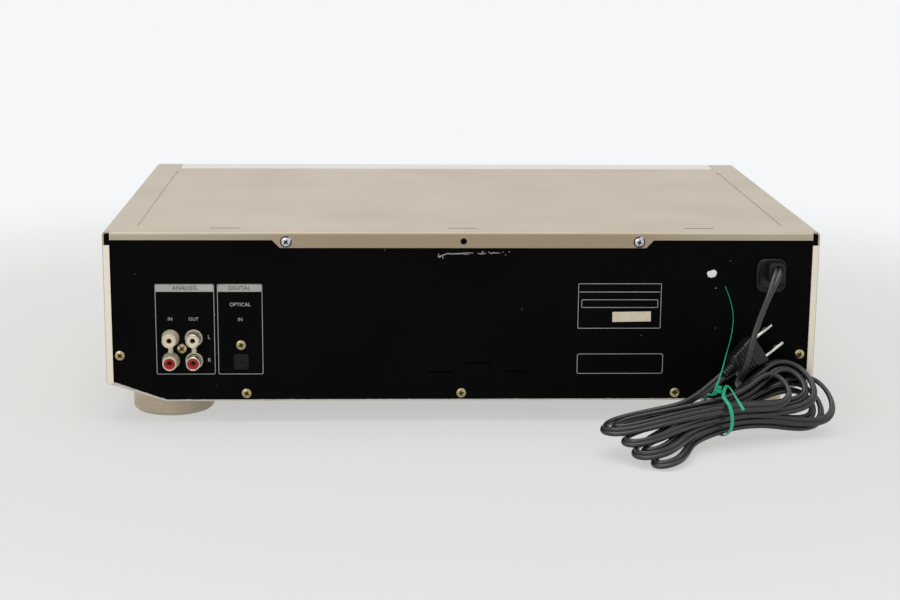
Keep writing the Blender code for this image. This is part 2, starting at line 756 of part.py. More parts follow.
def sheet(points, thickness):
    """The closed outline of a folded sheet: points run along one side, the sheet lies to their left."""
    inner = []
    count = len(points)
    for i in range(count):
        here = Vector(points[i])
        sides = []
        if i > 0:
            along = (here - Vector(points[i - 1])).normalized()
            sides.append(Vector((-along.y, along.x)))
        if i < count - 1:
            along = (Vector(points[i + 1]) - here).normalized()
            sides.append(Vector((-along.y, along.x)))
        if len(sides) == 2:
            offset = (sides[0] + sides[1]) / (1 + sides[0].dot(sides[1]))
        else:
            offset = sides[0]
        inner.append(tuple(here + offset * thickness))
    return list(points) + inner[::-1]


def gear(middle, module, teeth, turn=0.0, backlash=0.0):
    """A gear's outline, its teeth's flanks drawn as straight chords of the involute."""
    x, y = middle
    pitch = module * teeth / 2
    root, tip = pitch - 1.2 * module, pitch + 0.95 * module
    base = pitch * math.cos(math.radians(20))
    half = math.pi / teeth / 2 * (1 - 2 * backlash)
    spread = math.tan(math.radians(20)) - math.radians(20)

    def flank(radius):
        pressure = math.acos(min(1, base / radius))
        return half + spread - (math.tan(pressure) - pressure)

    low = max(root, base)
    levels = [low, (low + pitch) / 2, pitch, (pitch + tip) / 2, tip]
    points = []
    for tooth in range(teeth):
        middle_turn = turn + 2 * math.pi * tooth / teeth
        left = [(root, -flank(low))] + [(level, -flank(level)) for level in levels[1:]]
        right = [(radius, -angle) for radius, angle in reversed(left)]
        for radius, angle in left + right:
            points.append((x + radius * math.cos(middle_turn + angle),
                           y + radius * math.sin(middle_turn + angle)))
    return points


def rack(face_x, back_x, start_y, length, module, phase_y, backlash):
    """A rack's outline along Y. Its pitch line is at face_x, its back at back_x, a tooth's middle at phase_y."""
    outward = 1 if face_x > back_x else -1
    pitch = math.pi * module
    slope = math.tan(math.radians(20))
    tip, root = 0.95 * module, 1.2 * module
    points = [(back_x, start_y)]
    count = int(length / pitch)
    first = phase_y + math.ceil((start_y - phase_y + pitch / 2) / pitch) * pitch
    half = pitch / 4 - pitch * backlash
    points.append((face_x - outward * root, start_y))
    for i in range(count - 1):
        middle = first + i * pitch
        points += [(face_x - outward * root, middle - half - root * slope),
                   (face_x + outward * tip, middle - half + tip * slope),
                   (face_x + outward * tip, middle + half - tip * slope),
                   (face_x - outward * root, middle + half + root * slope)]
    points += [(face_x - outward * root, start_y + length), (back_x, start_y + length)]
    return points


def inward(depth):
    """Y of a point inside the deck, depth before the rear flange plane."""
    return REAR_Y - depth


def behind(depth):
    """Y of a point behind the rear flange plane."""
    return REAR_Y + depth


def from_face(depth):
    """Y of a point behind the front panel's face."""
    return FRONT_Y + depth


def slab(name, middle, size, low, high, finish=None, edge=0):
    """A box on an X, Y middle with its size in X and Y, between two heights."""
    x, y = middle
    width, depth = size[0] / 2, size[1] / 2
    return block(name, (x - width, y - depth, low), (x + width, y + depth, high), finish, edge)


def upright(name, middle, size, front, back, finish=None, edge=0):
    """A box on an X, Z middle with its size in X and Z, between two Y planes."""
    x, z = middle
    width, height = size[0] / 2, size[1] / 2
    return block(name, (x - width, front, z - height), (x + width, back, z + height), finish, edge)


def barrel(name, middle, radius, front, back, finish=None, sides=20):
    """A round bar along Y on an X, Z middle."""
    x, z = middle
    return rod(name, (x, front, z), (x, back, z), radius, finish, sides)


def pillar(name, middle, radius, low, high, finish=None, sides=20):
    x, y = middle
    return rod(name, (x, y, low), (x, y, high), radius, finish, sides)


# Top cover: one sheet bent over the sides and down at the back
cover_profile = rounded([(WIDTH / 2, COVER_BOTTOM_Z), (WIDTH / 2, TOP_Z), (-WIDTH / 2, TOP_Z),
                         (-WIDTH / 2, COVER_BOTTOM_Z)], COVER_BEND, closed=False)
top_cover = plate("top_cover", [sheet(cover_profile, COVER_SHEET)], from_face(FACE + GAP), inward(REAR_BEND),
                  'Y', CHAMPAGNE)
fold_reach = REAR_BEND + OVERRUN
flange_profile = rounded([(REAR_Y, TOP_Z - TAB_DROP), (REAR_Y, TOP_Z), (inward(fold_reach), TOP_Z)],
                         REAR_BEND,
                         closed=False)
flange_end = WIDTH / 2 - NOTCH_WIDTH
rear_fold = plate("rear fold", [sheet(flange_profile, COVER_SHEET)], -flange_end, flange_end, 'X')
for side in (-1, 1):
    tab_corner = [(side * TAB_HALF, TOP_Z - TAB_DROP - OVERRUN), (side * TAB_HALF, TOP_Z - TAB_DROP),
                  (side * (TAB_HALF + TAB_SLOPE), TOP_Z - FLANGE_DROP),
                  (side * (flange_end + OVERRUN), TOP_Z - FLANGE_DROP),
                  (side * (flange_end + OVERRUN), TOP_Z - TAB_DROP - OVERRUN)]
    cut(rear_fold, plate("tab corner", [tab_corner], inward(fold_reach), behind(OVERRUN), 'Y'))
cut(rear_fold, barrel("flange hole", (0, TOP_Z - FLANGE_HOLE_DROP), FLANGE_HOLE_RADIUS, inward(fold_reach),
                      behind(OVERRUN)))
join(top_cover, rear_fold)
for side in (-1, 1):
    strip_profile = rounded([(side * WIDTH / 2, inward(fold_reach)), (side * WIDTH / 2, REAR_Y),
                             (side * (WIDTH / 2 - STRIP_WIDTH), REAR_Y)], REAR_BEND, closed=False)
    strip_outline = sheet(strip_profile, side * COVER_SHEET)
    join(top_cover, plate("side fold", [strip_outline], COVER_BOTTOM_Z, TOP_Z - NOTCH_DROP, 'Z'))
ledge_back = from_face(FACE + LEDGE_DEPTH)


def ledge_outline(half, front, back, corner):
    """The ledge seen from above, its two back corners rounded."""
    return rounded([(half, front), (half, back), (-half, back), (-half, front)], corner, closed=False)


ledge_hole = ledge_outline(BAND_HALF, FRONT_Y, ledge_back + GAP, LEDGE_CORNER)
cut(top_cover, plate("ledge hole", [ledge_hole], TOP_Z - FRONT_LIP, TOP_Z + OVERRUN, 'Z'))
for side in (-1, 1):
    groove_middle = (side * GROOVE_X, inward(GROOVE_REAR + GROOVE_LENGTH / 2))
    cut(top_cover, slab("groove", groove_middle, (GROOVE_WIDTH, GROOVE_LENGTH), TOP_Z - GROOVE_DEPTH,
                        TOP_Z + OVERRUN))
for x in (-SLIT_X, 0, SLIT_X):
    cut(top_cover, slab("slit", (x, inward(SLIT_REAR)), (SLIT_LENGTH, SLIT_WIDTH), TOP_Z - OVERRUN,
                        TOP_Z + OVERRUN))


# Chassis: a shallow tray with raised long edges
def hull(half, low, high):
    """Half width, underside and top, with the lower corners cut off."""
    return [(-half, high), (-half, low + CORNER_RISE), (-half + CORNER_RUN, low), (half - CORNER_RUN, low),
            (half, low + CORNER_RISE), (half, high)]


chassis_half = WIDTH / 2 - SIDE_FIT
chassis_back = inward(PANEL_BACK + GAP)
chassis = plate("chassis", [sheet(hull(chassis_half, SHEET_Z, SIDE_LIP_Z), CHASSIS_SHEET)],
                from_face(FACE + GAP),
                chassis_back, 'Y', ZINC)
sheet_top = SHEET_Z + CHASSIS_SHEET
join(chassis, block("rear lip", (-LIP_HALF, chassis_back - CHASSIS_SHEET, SHEET_Z + CHASSIS_SHEET / 2),
                    (LIP_HALF, chassis_back, sheet_top + REAR_LIP)))
front_lip_y = from_face(FRONT_LIP_BACK)
join(chassis, block("front lip", (-LIP_HALF, front_lip_y, SHEET_Z + CHASSIS_SHEET / 2),
                    (LIP_HALF, front_lip_y + CHASSIS_SHEET, sheet_top + FRONT_LIP)))
power_middle_y = inward(POWER_REAR + POWER_DEPTH / 2)
main_middle = ((MAIN_LEFT_X + MAIN_RIGHT_X) / 2, inward(BOARD_REAR + MAIN_DEPTH / 2))
main_size = (MAIN_RIGHT_X - MAIN_LEFT_X, MAIN_DEPTH)
standoffs = []
for x in (POWER_X - STANDOFF_INSET, POWER_X + POWER_WIDTH / 2 - STANDOFF_INSET):
    for side in (-1, 1):
        standoffs.append((x, power_middle_y + side * (POWER_DEPTH / 2 - STANDOFF_INSET), BOARD_Z))
for x in (MAIN_LEFT_X + STANDOFF_INSET, FLAT_HALF - STANDOFF_INSET):
    for side in (-1, 1):
        standoffs.append((x, main_middle[1] + side * (MAIN_DEPTH / 2 - STANDOFF_INSET), BOARD_Z))
core_y = inward(CORE_REAR + CORE_DEPTH / 2)
for x in (POWER_X - STANDOFF_INSET, POWER_X + BRACKET_WIDTH / 2 - STANDOFF_INSET):
    for side in (-1, 1):
        standoffs.append((x, core_y + side * (CORE_DEPTH / 2), BRACKET_Z))
for x, y, top in standoffs:
    join(chassis, pillar("standoff", (x, y), STANDOFF_RADIUS, SHEET_Z + CHASSIS_SHEET / 2, top - GAP,
                         sides=12))
for i in range(BASE_SLOT_COUNT):
    slot_y = main_middle[1] + (i - (BASE_SLOT_COUNT - 1) / 2) * BASE_SLOT_PITCH
    cut(chassis, slab("base slot", (BASE_SLOT_X, slot_y), (BASE_SLOT_LENGTH, BASE_SLOT_WIDTH),
                      SHEET_Z - OVERRUN,
                      sheet_top + OVERRUN))

# Rear panel
panel_face = inward(PANEL_BACK - PANEL_SHEET)
panel_inside = inward(PANEL_BACK)
rear_panel = plate("rear_panel", [hull(WIDTH / 2 - PANEL_INSET, SHEET_Z + FIT / 4, TOP_Z - PANEL_TOP_DROP)],
                   panel_inside, panel_face, 'Y', CHAMPAGNE)
jack_centres = [(JACK_X + column * JACK_PITCH / 2, JACK_Z + row * JACK_PITCH / 2)
                for column in (1, -1) for row in (1, -1)]
for column in (1, -1):
    jack_x = JACK_X + column * JACK_PITCH / 2
    opening = upright("neck opening", (jack_x, JACK_Z), (NECK_WIDTH + 2 * FIT, JACK_PITCH),
                      panel_inside - OVERRUN,
                      panel_face + OVERRUN)
    for row in (1, -1):
        join(opening, barrel("jack opening", (jack_x, JACK_Z + row * JACK_PITCH / 2), COLLAR_RADIUS + FIT,
                             panel_inside - OVERRUN, panel_face + OVERRUN, sides=32))
    cut(rear_panel, opening)
optical_middle = (OPTICAL_X, OPTICAL_Z)
cut(rear_panel, upright("optical opening", optical_middle,
                        (OPTICAL_WIDTH + 2 * FIT, OPTICAL_HEIGHT + 2 * FIT),
                        panel_inside - OVERRUN, panel_face + OVERRUN))
bush_hole = rounded(rectangle((BUSH_X, BUSH_Z), BUSH_WIDTH - 2 * BUSH_NECK, BUSH_HEIGHT - 2 * BUSH_NECK),
                    BUSH_ROUND - BUSH_NECK)
cut(rear_panel, plate("bush hole", [bush_hole], panel_inside - OVERRUN, panel_face + OVERRUN, 'Y'))
for i in range(3):
    vent_x = VENT_X - i * VENT_PITCH
    vent_z = VENT_Z + (i % 2) * VENT_STEP
    cut(rear_panel, upright("vent slot", (vent_x, vent_z), (VENT_LENGTH, VENT_HEIGHT + 2 * GAP),
                            panel_inside - OVERRUN,
                            panel_face + OVERRUN))
    half = VENT_LENGTH / 2
    rise = panel_face - PANEL_SHEET / 8
    bridge = [(vent_x + half + VENT_MARGIN, rise), (vent_x + half, rise),
              (vent_x + half - VENT_SLOPE, rise + VENT_BULGE),
              (vent_x - half + VENT_SLOPE, rise + VENT_BULGE), (vent_x - half, rise),
              (vent_x - half - VENT_MARGIN, rise)]
    join(rear_panel, plate("vent bridge", [sheet(bridge, PANEL_SHEET * 3 / 4)], vent_z - VENT_HEIGHT / 2,
                           vent_z + VENT_HEIGHT / 2, 'Z'))

# Feet
foot_top = FOOT_HEIGHT - GAP
foot_profile = [(0, foot_top), (FOOT_RADIUS, foot_top), (FOOT_RADIUS, SOLE_ROUND),
                (FOOT_RADIUS - SOLE_ROUND, 0),
                (CUP_RADIUS, 0), (CUP_RADIUS, CUP_DEPTH), (SCREW_WELL_RADIUS, CUP_DEPTH),
                (SCREW_WELL_RADIUS, SCREW_WELL_DEPTH), (0, SCREW_WELL_DEPTH)]
for name, x, y in (("foot_front_left", -FOOT_X, from_face(FOOT_FRONT)),
                   ("foot_front_right", FOOT_X, from_face(FOOT_FRONT)),
                   ("foot_rear_left", -FOOT_X, inward(FOOT_REAR)),
                   ("foot_rear_right", FOOT_X, inward(FOOT_REAR))):
    shade(turned(name, foot_profile, (x, y, 0), ALUMINIUM, 36))

# Front panel with its openings
face_back = from_face(FACE)
ledge_half = BAND_HALF - GAP
face_top = TOP_Z - FACE_TOP_DROP
face_outline = rounded([(-WIDTH / 2, FACE_BOTTOM_Z), (WIDTH / 2, FACE_BOTTOM_Z), (WIDTH / 2, face_top),
                        (-WIDTH / 2, face_top)], FACE_CORNER)
keys = [(KEY_X + column * KEY_PITCH, KEY_Z - row * KEY_ROW) for row in (0, 1) for column in (0, 1)]
face_holes = [circle((PHONES_X, PHONES_Z), JACK_BARREL_RADIUS + FIT, 32),
              circle(RECORD_BUTTON[:2], RECORD_BUTTON[2] + FIT, 32)]
knob_places = ((DIAL_X, DIAL_Z), (LEVEL_X, DIAL_Z), (PHONES_KNOB_X, PHONES_Z))
for place_on_face in knob_places:
    face_holes.append(circle(place_on_face, SHAFT_RADIUS + FIT, 20))
front_panel = plate("front_panel", [face_outline] + face_holes, FRONT_Y, face_back, 'Y', PANEL_PLASTIC)
openings = [(TRAY_X, UPPER_Z, TRAY_FRONT_WIDTH, TRAY_FRONT_HEIGHT),
            (WINDOW_X, WINDOW_Z, WINDOW_WIDTH, WINDOW_HEIGHT),
            POWER_BUTTON, OPEN_BUTTON, EJECT_BUTTON]
openings += [(x, z, KEY_WIDTH, KEY_HEIGHT) for x, z in keys]
for x, z, width, height in openings:
    cut(front_panel, upright("opening", (x, z), (width + 2 * FIT, height + 2 * FIT), FRONT_Y - OVERRUN,
                             face_back + OVERRUN))
cut(front_panel, upright("disc slot", (MD_X, UPPER_Z), (SLOT_WIDTH, SLOT_HEIGHT), FRONT_Y - OVERRUN,
                         face_back + OVERRUN))
cut(front_panel, upright("switch slot", (SWITCH_X, SWITCH_Z), (SWITCH_SLOT_WIDTH, SWITCH_SLOT_HEIGHT),
                         FRONT_Y - OVERRUN, face_back + OVERRUN))
ledge = ledge_outline(ledge_half, from_face(LEDGE_START), ledge_back, LEDGE_CORNER)
join(front_panel, plate("ledge", [ledge], TOP_Z - LEDGE_THICK, TOP_Z, 'Z'))
corner_line = [(FRONT_Y, TOP_Z - FACE - OVERRUN), (FRONT_Y, TOP_Z), (face_back + OVERRUN, TOP_Z)]
corner_cut = [(FRONT_Y - OVERRUN, TOP_Z - FACE)] + rounded(corner_line, FACE, closed=False)[1:-1]
corner_cut += [(face_back, TOP_Z + OVERRUN), (FRONT_Y - OVERRUN, TOP_Z + OVERRUN)]
cut(front_panel, plate("front edge", [corner_cut], -BAND_HALF, BAND_HALF, 'X'))
skirt_half = WIDTH / 2 - SKIRT_INSET
skirt_outer = hull(skirt_half, SKIRT_BOTTOM_Z, SKIRT_TOP_Z)
skirt_inner = hull(skirt_half - SKIRT_WALL, SKIRT_BOTTOM_Z + SKIRT_WALL, SKIRT_TOP_Z - SKIRT_WALL)
join(front_panel, plate("skirt", [skirt_outer, skirt_inner], face_back - FACE / 2, face_back + SKIRT_DEPTH,
                        'Y'))
cut(front_panel, upright("slot bezel", (MD_X, UPPER_Z), (BEZEL_WIDTH, BEZEL_HEIGHT), FRONT_Y - OVERRUN,
                         from_face(BEZEL_DEPTH)))
board_front = from_face(FRONT_BOARD_BACK)
for post in BOARD_POSTS:
    join(front_panel, barrel("post", post, POST_RADIUS, face_back - FACE / 2, board_front - GAP, sides=12))
flap_y = face_back + 2 * GAP + FLAP_PIN_RADIUS
flap_axis_z = UPPER_Z + FLAP_HEIGHT / 2 + FLAP_PIN_RADIUS
for side in (-1, 1):
    ear_x = MD_X + side * (FLAP_WIDTH / 2 + GAP + FLAP_EAR / 2)
    ear = block("flap ear", (ear_x - FLAP_EAR / 2, face_back - FACE / 2, flap_axis_z - FLAP_EAR),
                (ear_x + FLAP_EAR / 2, flap_y + FLAP_EAR, flap_axis_z + FLAP_EAR))
    cut(ear, rod("flap pin hole", (ear_x - FLAP_EAR, flap_y, flap_axis_z),
                 (ear_x + FLAP_EAR, flap_y, flap_axis_z),
                 FLAP_PIN_RADIUS + GAP, sides=12))
    join(front_panel, ear)

# Display
flange_front = face_back + GAP
window = upright("display_window", (WINDOW_X, WINDOW_Z), (WINDOW_WIDTH, WINDOW_HEIGHT), FRONT_Y,
                 flange_front + FLANGE_SHEET,
                 SMOKED)
join(window, upright("window flange", (WINDOW_X, WINDOW_Z), (WINDOW_WIDTH + 2 * WINDOW_FLANGE,
                     WINDOW_HEIGHT + 2 * WINDOW_FLANGE), flange_front, flange_front + FLANGE_SHEET))
tube_front = flange_front + FLANGE_SHEET + GAP
upright("display_tube", (WINDOW_X, WINDOW_Z), (TUBE_WIDTH, TUBE_HEIGHT), tube_front, tube_front + TUBE_DEPTH,
        GLASS,
        TUBE_EDGE)

# Front board
board_back = board_front + BOARD
front_board = block("front_board", (-FRONT_BOARD_HALF, board_front, FRONT_BOARD_BOTTOM_Z),
                    (FRONT_BOARD_HALF, board_back, FRONT_BOARD_LOW_Z), LAMINATE)
for low_x, high_x in BOARD_TOWERS:
    join(front_board, block("tower", (low_x, board_front, FRONT_BOARD_LOW_Z - OVERRUN),
                            (high_x, board_back, FRONT_BOARD_TOP_Z)))
switch_places = [POWER_BUTTON[:2], OPEN_BUTTON[:2], EJECT_BUTTON[:2], RECORD_BUTTON[:2],
                 (SWITCH_X, SWITCH_Z)] + keys
for spot in switch_places:
    join(front_board, upright("switch", spot, (2 * SWITCH_HALF, 2 * SWITCH_HALF), board_front - SWITCH_HEIGHT,
                              board_front + BOARD / 2))
for spot in knob_places:
    join(front_board, upright("pot", spot, (2 * POT_HALF, 2 * POT_HALF), board_front - POT_HEIGHT,
                              board_front + BOARD / 2))
join(front_board, upright("tube pad", (WINDOW_X, WINDOW_Z), (TUBE_WIDTH, TUBE_PAD_EDGE),
                          tube_front + TUBE_DEPTH + GAP,
                          board_front + BOARD / 2))
cut(front_board, upright("jack notch", (PHONES_X, PHONES_Z), (2 * PHONES_BODY_HALF + PLATE_ROOM,
                         2 * PHONES_BODY_HALF + 2 * PLATE_ROOM), board_front - OVERRUN, board_back + OVERRUN))

# Main board with its parts
board_top = BOARD_Z + BOARD
main_board = slab("main_board", main_middle, main_size, BOARD_Z, board_top, LAMINATE)
for across, along, width, depth in CHIP_SHARES:
    spot = (main_middle[0] + across * main_size[0], main_middle[1] + along * main_size[1])
    join(main_board, slab("chip", spot, (width * main_size[0], depth * main_size[1]), board_top - BOARD / 2,
                          board_top + CHIP_HEIGHT))
for across, along in CAN_SHARES:
    spot = (main_middle[0] + across * main_size[0], main_middle[1] + along * main_size[1])
    join(main_board, pillar("can", spot, CAN_RADIUS, board_top - BOARD / 2, board_top + CAN_HEIGHT, sides=16))

# Power supply
slab("power_board", (POWER_X, power_middle_y), (POWER_WIDTH, POWER_DEPTH), BOARD_Z, board_top, LAMINATE)
transformer = slab("power_transformer", (POWER_X, core_y), (BRACKET_WIDTH, CORE_DEPTH + 2 * CORE_LIFT),
                   BRACKET_Z,
                   BRACKET_Z + BRACKET_SHEET, ZINC)
join(transformer, slab("core", (POWER_X, core_y), (CORE_WIDTH, COIL_WIDTH), BRACKET_Z + BRACKET_SHEET / 2,
                       BRACKET_Z + CORE_HEIGHT))
join(transformer, slab("coil", (POWER_X, core_y), (COIL_WIDTH, CORE_DEPTH), BRACKET_Z + CORE_LIFT,
                       BRACKET_Z + CORE_HEIGHT - CORE_LIFT))
sink_y = power_middle_y + POWER_DEPTH / 2 - SINK_DEPTH
fin_pitch = SINK_WIDTH / (SINK_FINS - 1 + SINK_FIN_SHARE)
comb = []
for i in range(SINK_FINS):
    fin_x = POWER_X - SINK_WIDTH / 2 + i * fin_pitch
    comb += [(fin_x, sink_y), (fin_x, sink_y - SINK_DEPTH + SINK_BACK), (fin_x + fin_pitch * SINK_FIN_SHARE,
             sink_y - SINK_DEPTH + SINK_BACK), (fin_x + fin_pitch * SINK_FIN_SHARE, sink_y)]
comb += [(POWER_X + SINK_WIDTH / 2, sink_y + SINK_BACK), (POWER_X - SINK_WIDTH / 2, sink_y + SINK_BACK)]
plate("heat_sink", [comb], board_top + GAP, board_top + GAP + SINK_HEIGHT, 'Z', ALUMINIUM)
can_base = board_top + GAP
can_top = can_base + CAPACITOR_HEIGHT
can_profile = [(0, can_top - CAPACITOR_EDGE / 2), (CAPACITOR_RADIUS - 2 * CAPACITOR_EDGE,
                                                   can_top - CAPACITOR_EDGE / 2),
               (CAPACITOR_RADIUS - 2 * CAPACITOR_EDGE, can_top), (CAPACITOR_RADIUS - CAPACITOR_EDGE, can_top),
               (CAPACITOR_RADIUS, can_top - CAPACITOR_EDGE), (CAPACITOR_RADIUS, can_base), (0, can_base)]
shade(turned("filter_capacitor", can_profile, (POWER_X, inward(POWER_REAR + CAPACITOR_FRONT), 0), SLEEVE_BLUE,
             32))

# Phono jacks
block_half = JACK_PITCH / 2 + BLOCK_MARGIN
block_back = inward(PANEL_BACK + GAP)
jack_block = block("jack_block", (JACK_X - block_half, block_back - BLOCK_DEPTH, board_top + GAP),
                   (JACK_X + block_half, block_back, JACK_Z + block_half), BEIGE_PLASTIC)
collar_end = panel_face + COLLAR_PROUD
seat = panel_face - SLEEVE_SEAT
for column in (1, -1):
    jack_x = JACK_X + column * JACK_PITCH / 2
    join(jack_block, upright("neck", (jack_x, JACK_Z), (NECK_WIDTH, JACK_PITCH), block_back - OVERRUN,
                             collar_end))
for centre in jack_centres:
    join(jack_block, barrel("collar", centre, COLLAR_RADIUS, block_back - OVERRUN, collar_end, sides=32))
for centre in jack_centres:
    cut(jack_block, barrel("seat", centre, SLEEVE_RADIUS + GAP, seat - GAP, collar_end + OVERRUN, sides=32))
sleeve_end = behind(JACK_PROUD)
sleeve_length = sleeve_end - seat
sleeve_profile = [(0, sleeve_length - SLEEVE_HOLE_DEPTH), (SLEEVE_HOLE, sleeve_length - SLEEVE_HOLE_DEPTH),
                  (SLEEVE_HOLE, sleeve_length - SLEEVE_EDGE),
                  (SLEEVE_RADIUS - 2 * SLEEVE_EDGE, sleeve_length - SLEEVE_EDGE),
                  (SLEEVE_RADIUS - 2 * SLEEVE_EDGE, sleeve_length), (SLEEVE_RADIUS, sleeve_length),
                  (SLEEVE_RADIUS, 0), (0, 0)]
for name, centre in zip(("jack_in_left", "jack_in_right", "jack_out_left", "jack_out_right"), jack_centres):
    colour = CREAM_PLASTIC if name.endswith("left") else RED_PLASTIC
    shade(turned(name, sleeve_profile, (centre[0], seat, centre[1]), colour, 24, 'Y'))

# Optical socket and its dust plug
socket_half = OPTICAL_WIDTH / 2 + OPTICAL_WALL
optical_socket = block("optical_socket", (OPTICAL_X - socket_half, block_back - OPTICAL_DEPTH,
                                          board_top + GAP),
                       (OPTICAL_X + socket_half, block_back, OPTICAL_Z + OPTICAL_HEIGHT / 2 + OPTICAL_WALL),
                       GREY_PLASTIC)
cut(optical_socket, barrel("plug seat", optical_middle, STEM_HALF + GAP, block_back - OPTICAL_SEAT - GAP,
                           block_back + OVERRUN, sides=24))
optical_plug = upright("optical_plug", optical_middle, (OPTICAL_WIDTH, OPTICAL_HEIGHT), panel_inside,
                       panel_inside + PLUG_HEAD, GREY_PLASTIC)
join(optical_plug, barrel("plug stem", optical_middle, STEM_HALF, block_back - OPTICAL_SEAT,
                          panel_inside + PLUG_HEAD / 2,
                          sides=24))

# Disc tray with its rack
tray_front_y = face_back + GAP
disc = (TRAY_X, tray_front_y + DISC_FRONT)
tray_low = TRAY_TOP_Z - TRAY_PLATE
tray_middle = (TRAY_X, tray_front_y + TRAY_LENGTH / 2)
cd_tray = slab("cd_tray", tray_middle, (TRAY_WIDTH, TRAY_LENGTH), tray_low, TRAY_TOP_Z, DARK_PLASTIC)
join(cd_tray, slab("tray lug", (TRAY_X, tray_front_y + TRAY_LUG_DEPTH / 2), (TRAY_LUG_WIDTH, TRAY_LUG_DEPTH),
                   tray_low - TRAY_LUG_HEIGHT, TRAY_TOP_Z - TRAY_PLATE / 2))
rack_back_x = TRAY_X + RACK_SIDE
rack_pitch_x = rack_back_x - RACK_BACK - 2 * LOAD_MODULE
gear_centre = (rack_pitch_x - LOAD_MODULE * LOAD_TEETH / 2, tray_front_y + LOAD_FRONT)
rack_outline = rack(rack_pitch_x, rack_back_x, tray_front_y + TRAY_LUG_DEPTH, RACK_LENGTH, LOAD_MODULE,
                    gear_centre[1],
                    BACKLASH_SHARE)
join(cd_tray, plate("tray rack", [rack_outline], tray_low - GAP - LOAD_THICK, tray_low + TRAY_PLATE / 4, 'Z'))
cut(cd_tray, pillar("disc recess", disc, DISC_RADIUS, TRAY_TOP_Z - DISC_RECESS, TRAY_TOP_Z + OVERRUN,
                    sides=64))
cut(cd_tray, pillar("small recess", disc, SMALL_DISC_RADIUS, TRAY_TOP_Z - DISC_RECESS - SMALL_RECESS,
                    TRAY_TOP_Z + OVERRUN, sides=64))
tray_slot = pillar("tray hub hole", disc, HUB_HOLE_RADIUS, tray_low - OVERRUN, TRAY_TOP_Z + OVERRUN, sides=48)
join(tray_slot, block("tray slot", (TRAY_X - TRAY_SLOT_HALF, disc[1], tray_low - OVERRUN),
                      (TRAY_X + TRAY_SLOT_HALF, tray_front_y + TRAY_LENGTH + OVERRUN, TRAY_TOP_Z + OVERRUN)))
cut(cd_tray, tray_slot)
upright("tray_front", (TRAY_X, UPPER_Z), (TRAY_FRONT_WIDTH, TRAY_FRONT_HEIGHT), FRONT_Y, face_back,
        PANEL_PLASTIC,
        TRAY_FRONT_EDGE)

# Loading gear on its post
gear_low = tray_low - GAP - LOAD_THICK
loading_gear = plate("loading_gear", [gear(gear_centre, LOAD_MODULE, LOAD_TEETH, math.pi / LOAD_TEETH,
                                           BACKLASH_SHARE),
                     circle(gear_centre, PIN_RADIUS + GAP, 20)], gear_low, gear_low + LOAD_THICK - GAP, 'Z',
                     WHITE_PLASTIC)

# Frame of the tray mechanism
frame_half = TRAY_WIDTH / 2 + FRAME_SIDE_ROOM + FRAME_WALL
frame_top = FRAME_BASE_Z + FRAME_BASE
frame_front_y = tray_front_y + FRAME_FRONT
frame_back_y = tray_front_y + FRAME_LENGTH
pivot = (TRAY_X, disc[1] - TRAVERSE_FRONT + TRAVERSE_LENGTH - PIVOT_REAR, TRAVERSE_Z + TRAVERSE_SHEET / 2)
base_outline = [(TRAY_X - frame_half, frame_front_y), (TRAY_X + frame_half, frame_front_y),
                (TRAY_X + frame_half, frame_back_y), (TRAY_X - frame_half, frame_back_y)]
window_middle = (TRAY_X, tray_front_y + FRAME_WINDOW_FRONT + FRAME_WINDOW_LENGTH / 2)
cd_frame = plate("cd_frame", [base_outline, rectangle(window_middle, FRAME_WINDOW_WIDTH,
                                                      FRAME_WINDOW_LENGTH)],
                 FRAME_BASE_Z, frame_top, 'Z', DARK_PLASTIC)
rib_middle_y = tray_front_y + RAIL_LENGTH / 2 + TRAY_LUG_DEPTH
for side in (-1, 1):
    wall_low = TRAY_X + side * frame_half
    wall_inner = TRAY_X + side * (frame_half - FRAME_WALL)
    join(cd_frame, block("wall", (min(wall_low, wall_inner), frame_front_y, FRAME_BASE_Z + FRAME_BASE / 2),
                         (max(wall_low, wall_inner), frame_back_y, FRAME_WALL_TOP_Z)))
    rail_end = TRAY_X + side * (TRAY_WIDTH / 2 - RAIL_OVERLAP)
    rail_root = wall_inner + side * FRAME_WALL / 2
    rail_span = (abs(rail_root - rail_end), RAIL_LENGTH)
    join(cd_frame, slab("rail", ((rail_root + rail_end) / 2, rib_middle_y), rail_span,
                        tray_low - GAP - RAIL_THICK,
                        tray_low - GAP))
    for hook_y in (tray_front_y + LEG_FRONT, tray_front_y + RAIL_LENGTH):
        join(cd_frame, slab("hook", ((rail_root + rail_end) / 2, hook_y), (rail_span[0], HOOK_LENGTH),
                            TRAY_TOP_Z + GAP,
                            TRAY_TOP_Z + GAP + RAIL_THICK))
    for leg_y in (tray_front_y + LEG_FRONT, frame_back_y - LEG_REAR):
        join(cd_frame, pillar("leg", (TRAY_X + side * (frame_half - LEG_INSET), leg_y), LEG_RADIUS,
                              sheet_top + GAP,
                              FRAME_BASE_Z + FRAME_BASE / 2, sides=16))
    ear_x = TRAY_X + side * (TRAVERSE_WIDTH / 2 + 2 * GAP + EAR_THICK / 2 + PLATE_ROOM / 2)
    ear = slab("pivot ear", (ear_x, pivot[1]), (EAR_THICK, 2 * EAR_RADIUS), FRAME_BASE_Z + FRAME_BASE / 2,
               pivot[2] + EAR_RADIUS)
    cut(ear, rod("pivot hole", (ear_x - EAR_THICK, pivot[1], pivot[2]),
                 (ear_x + EAR_THICK, pivot[1], pivot[2]),
                 PIVOT_RADIUS + GAP, sides=20))
    join(cd_frame, ear)
join(cd_frame, pillar("gear post", gear_centre, GEAR_POST_RADIUS, FRAME_BASE_Z + FRAME_BASE / 2,
                      gear_low - GAP, sides=24))
join(cd_frame, pillar("gear pin", gear_centre, PIN_RADIUS, FRAME_BASE_Z + FRAME_BASE,
                      gear_low + LOAD_THICK - 2 * GAP))

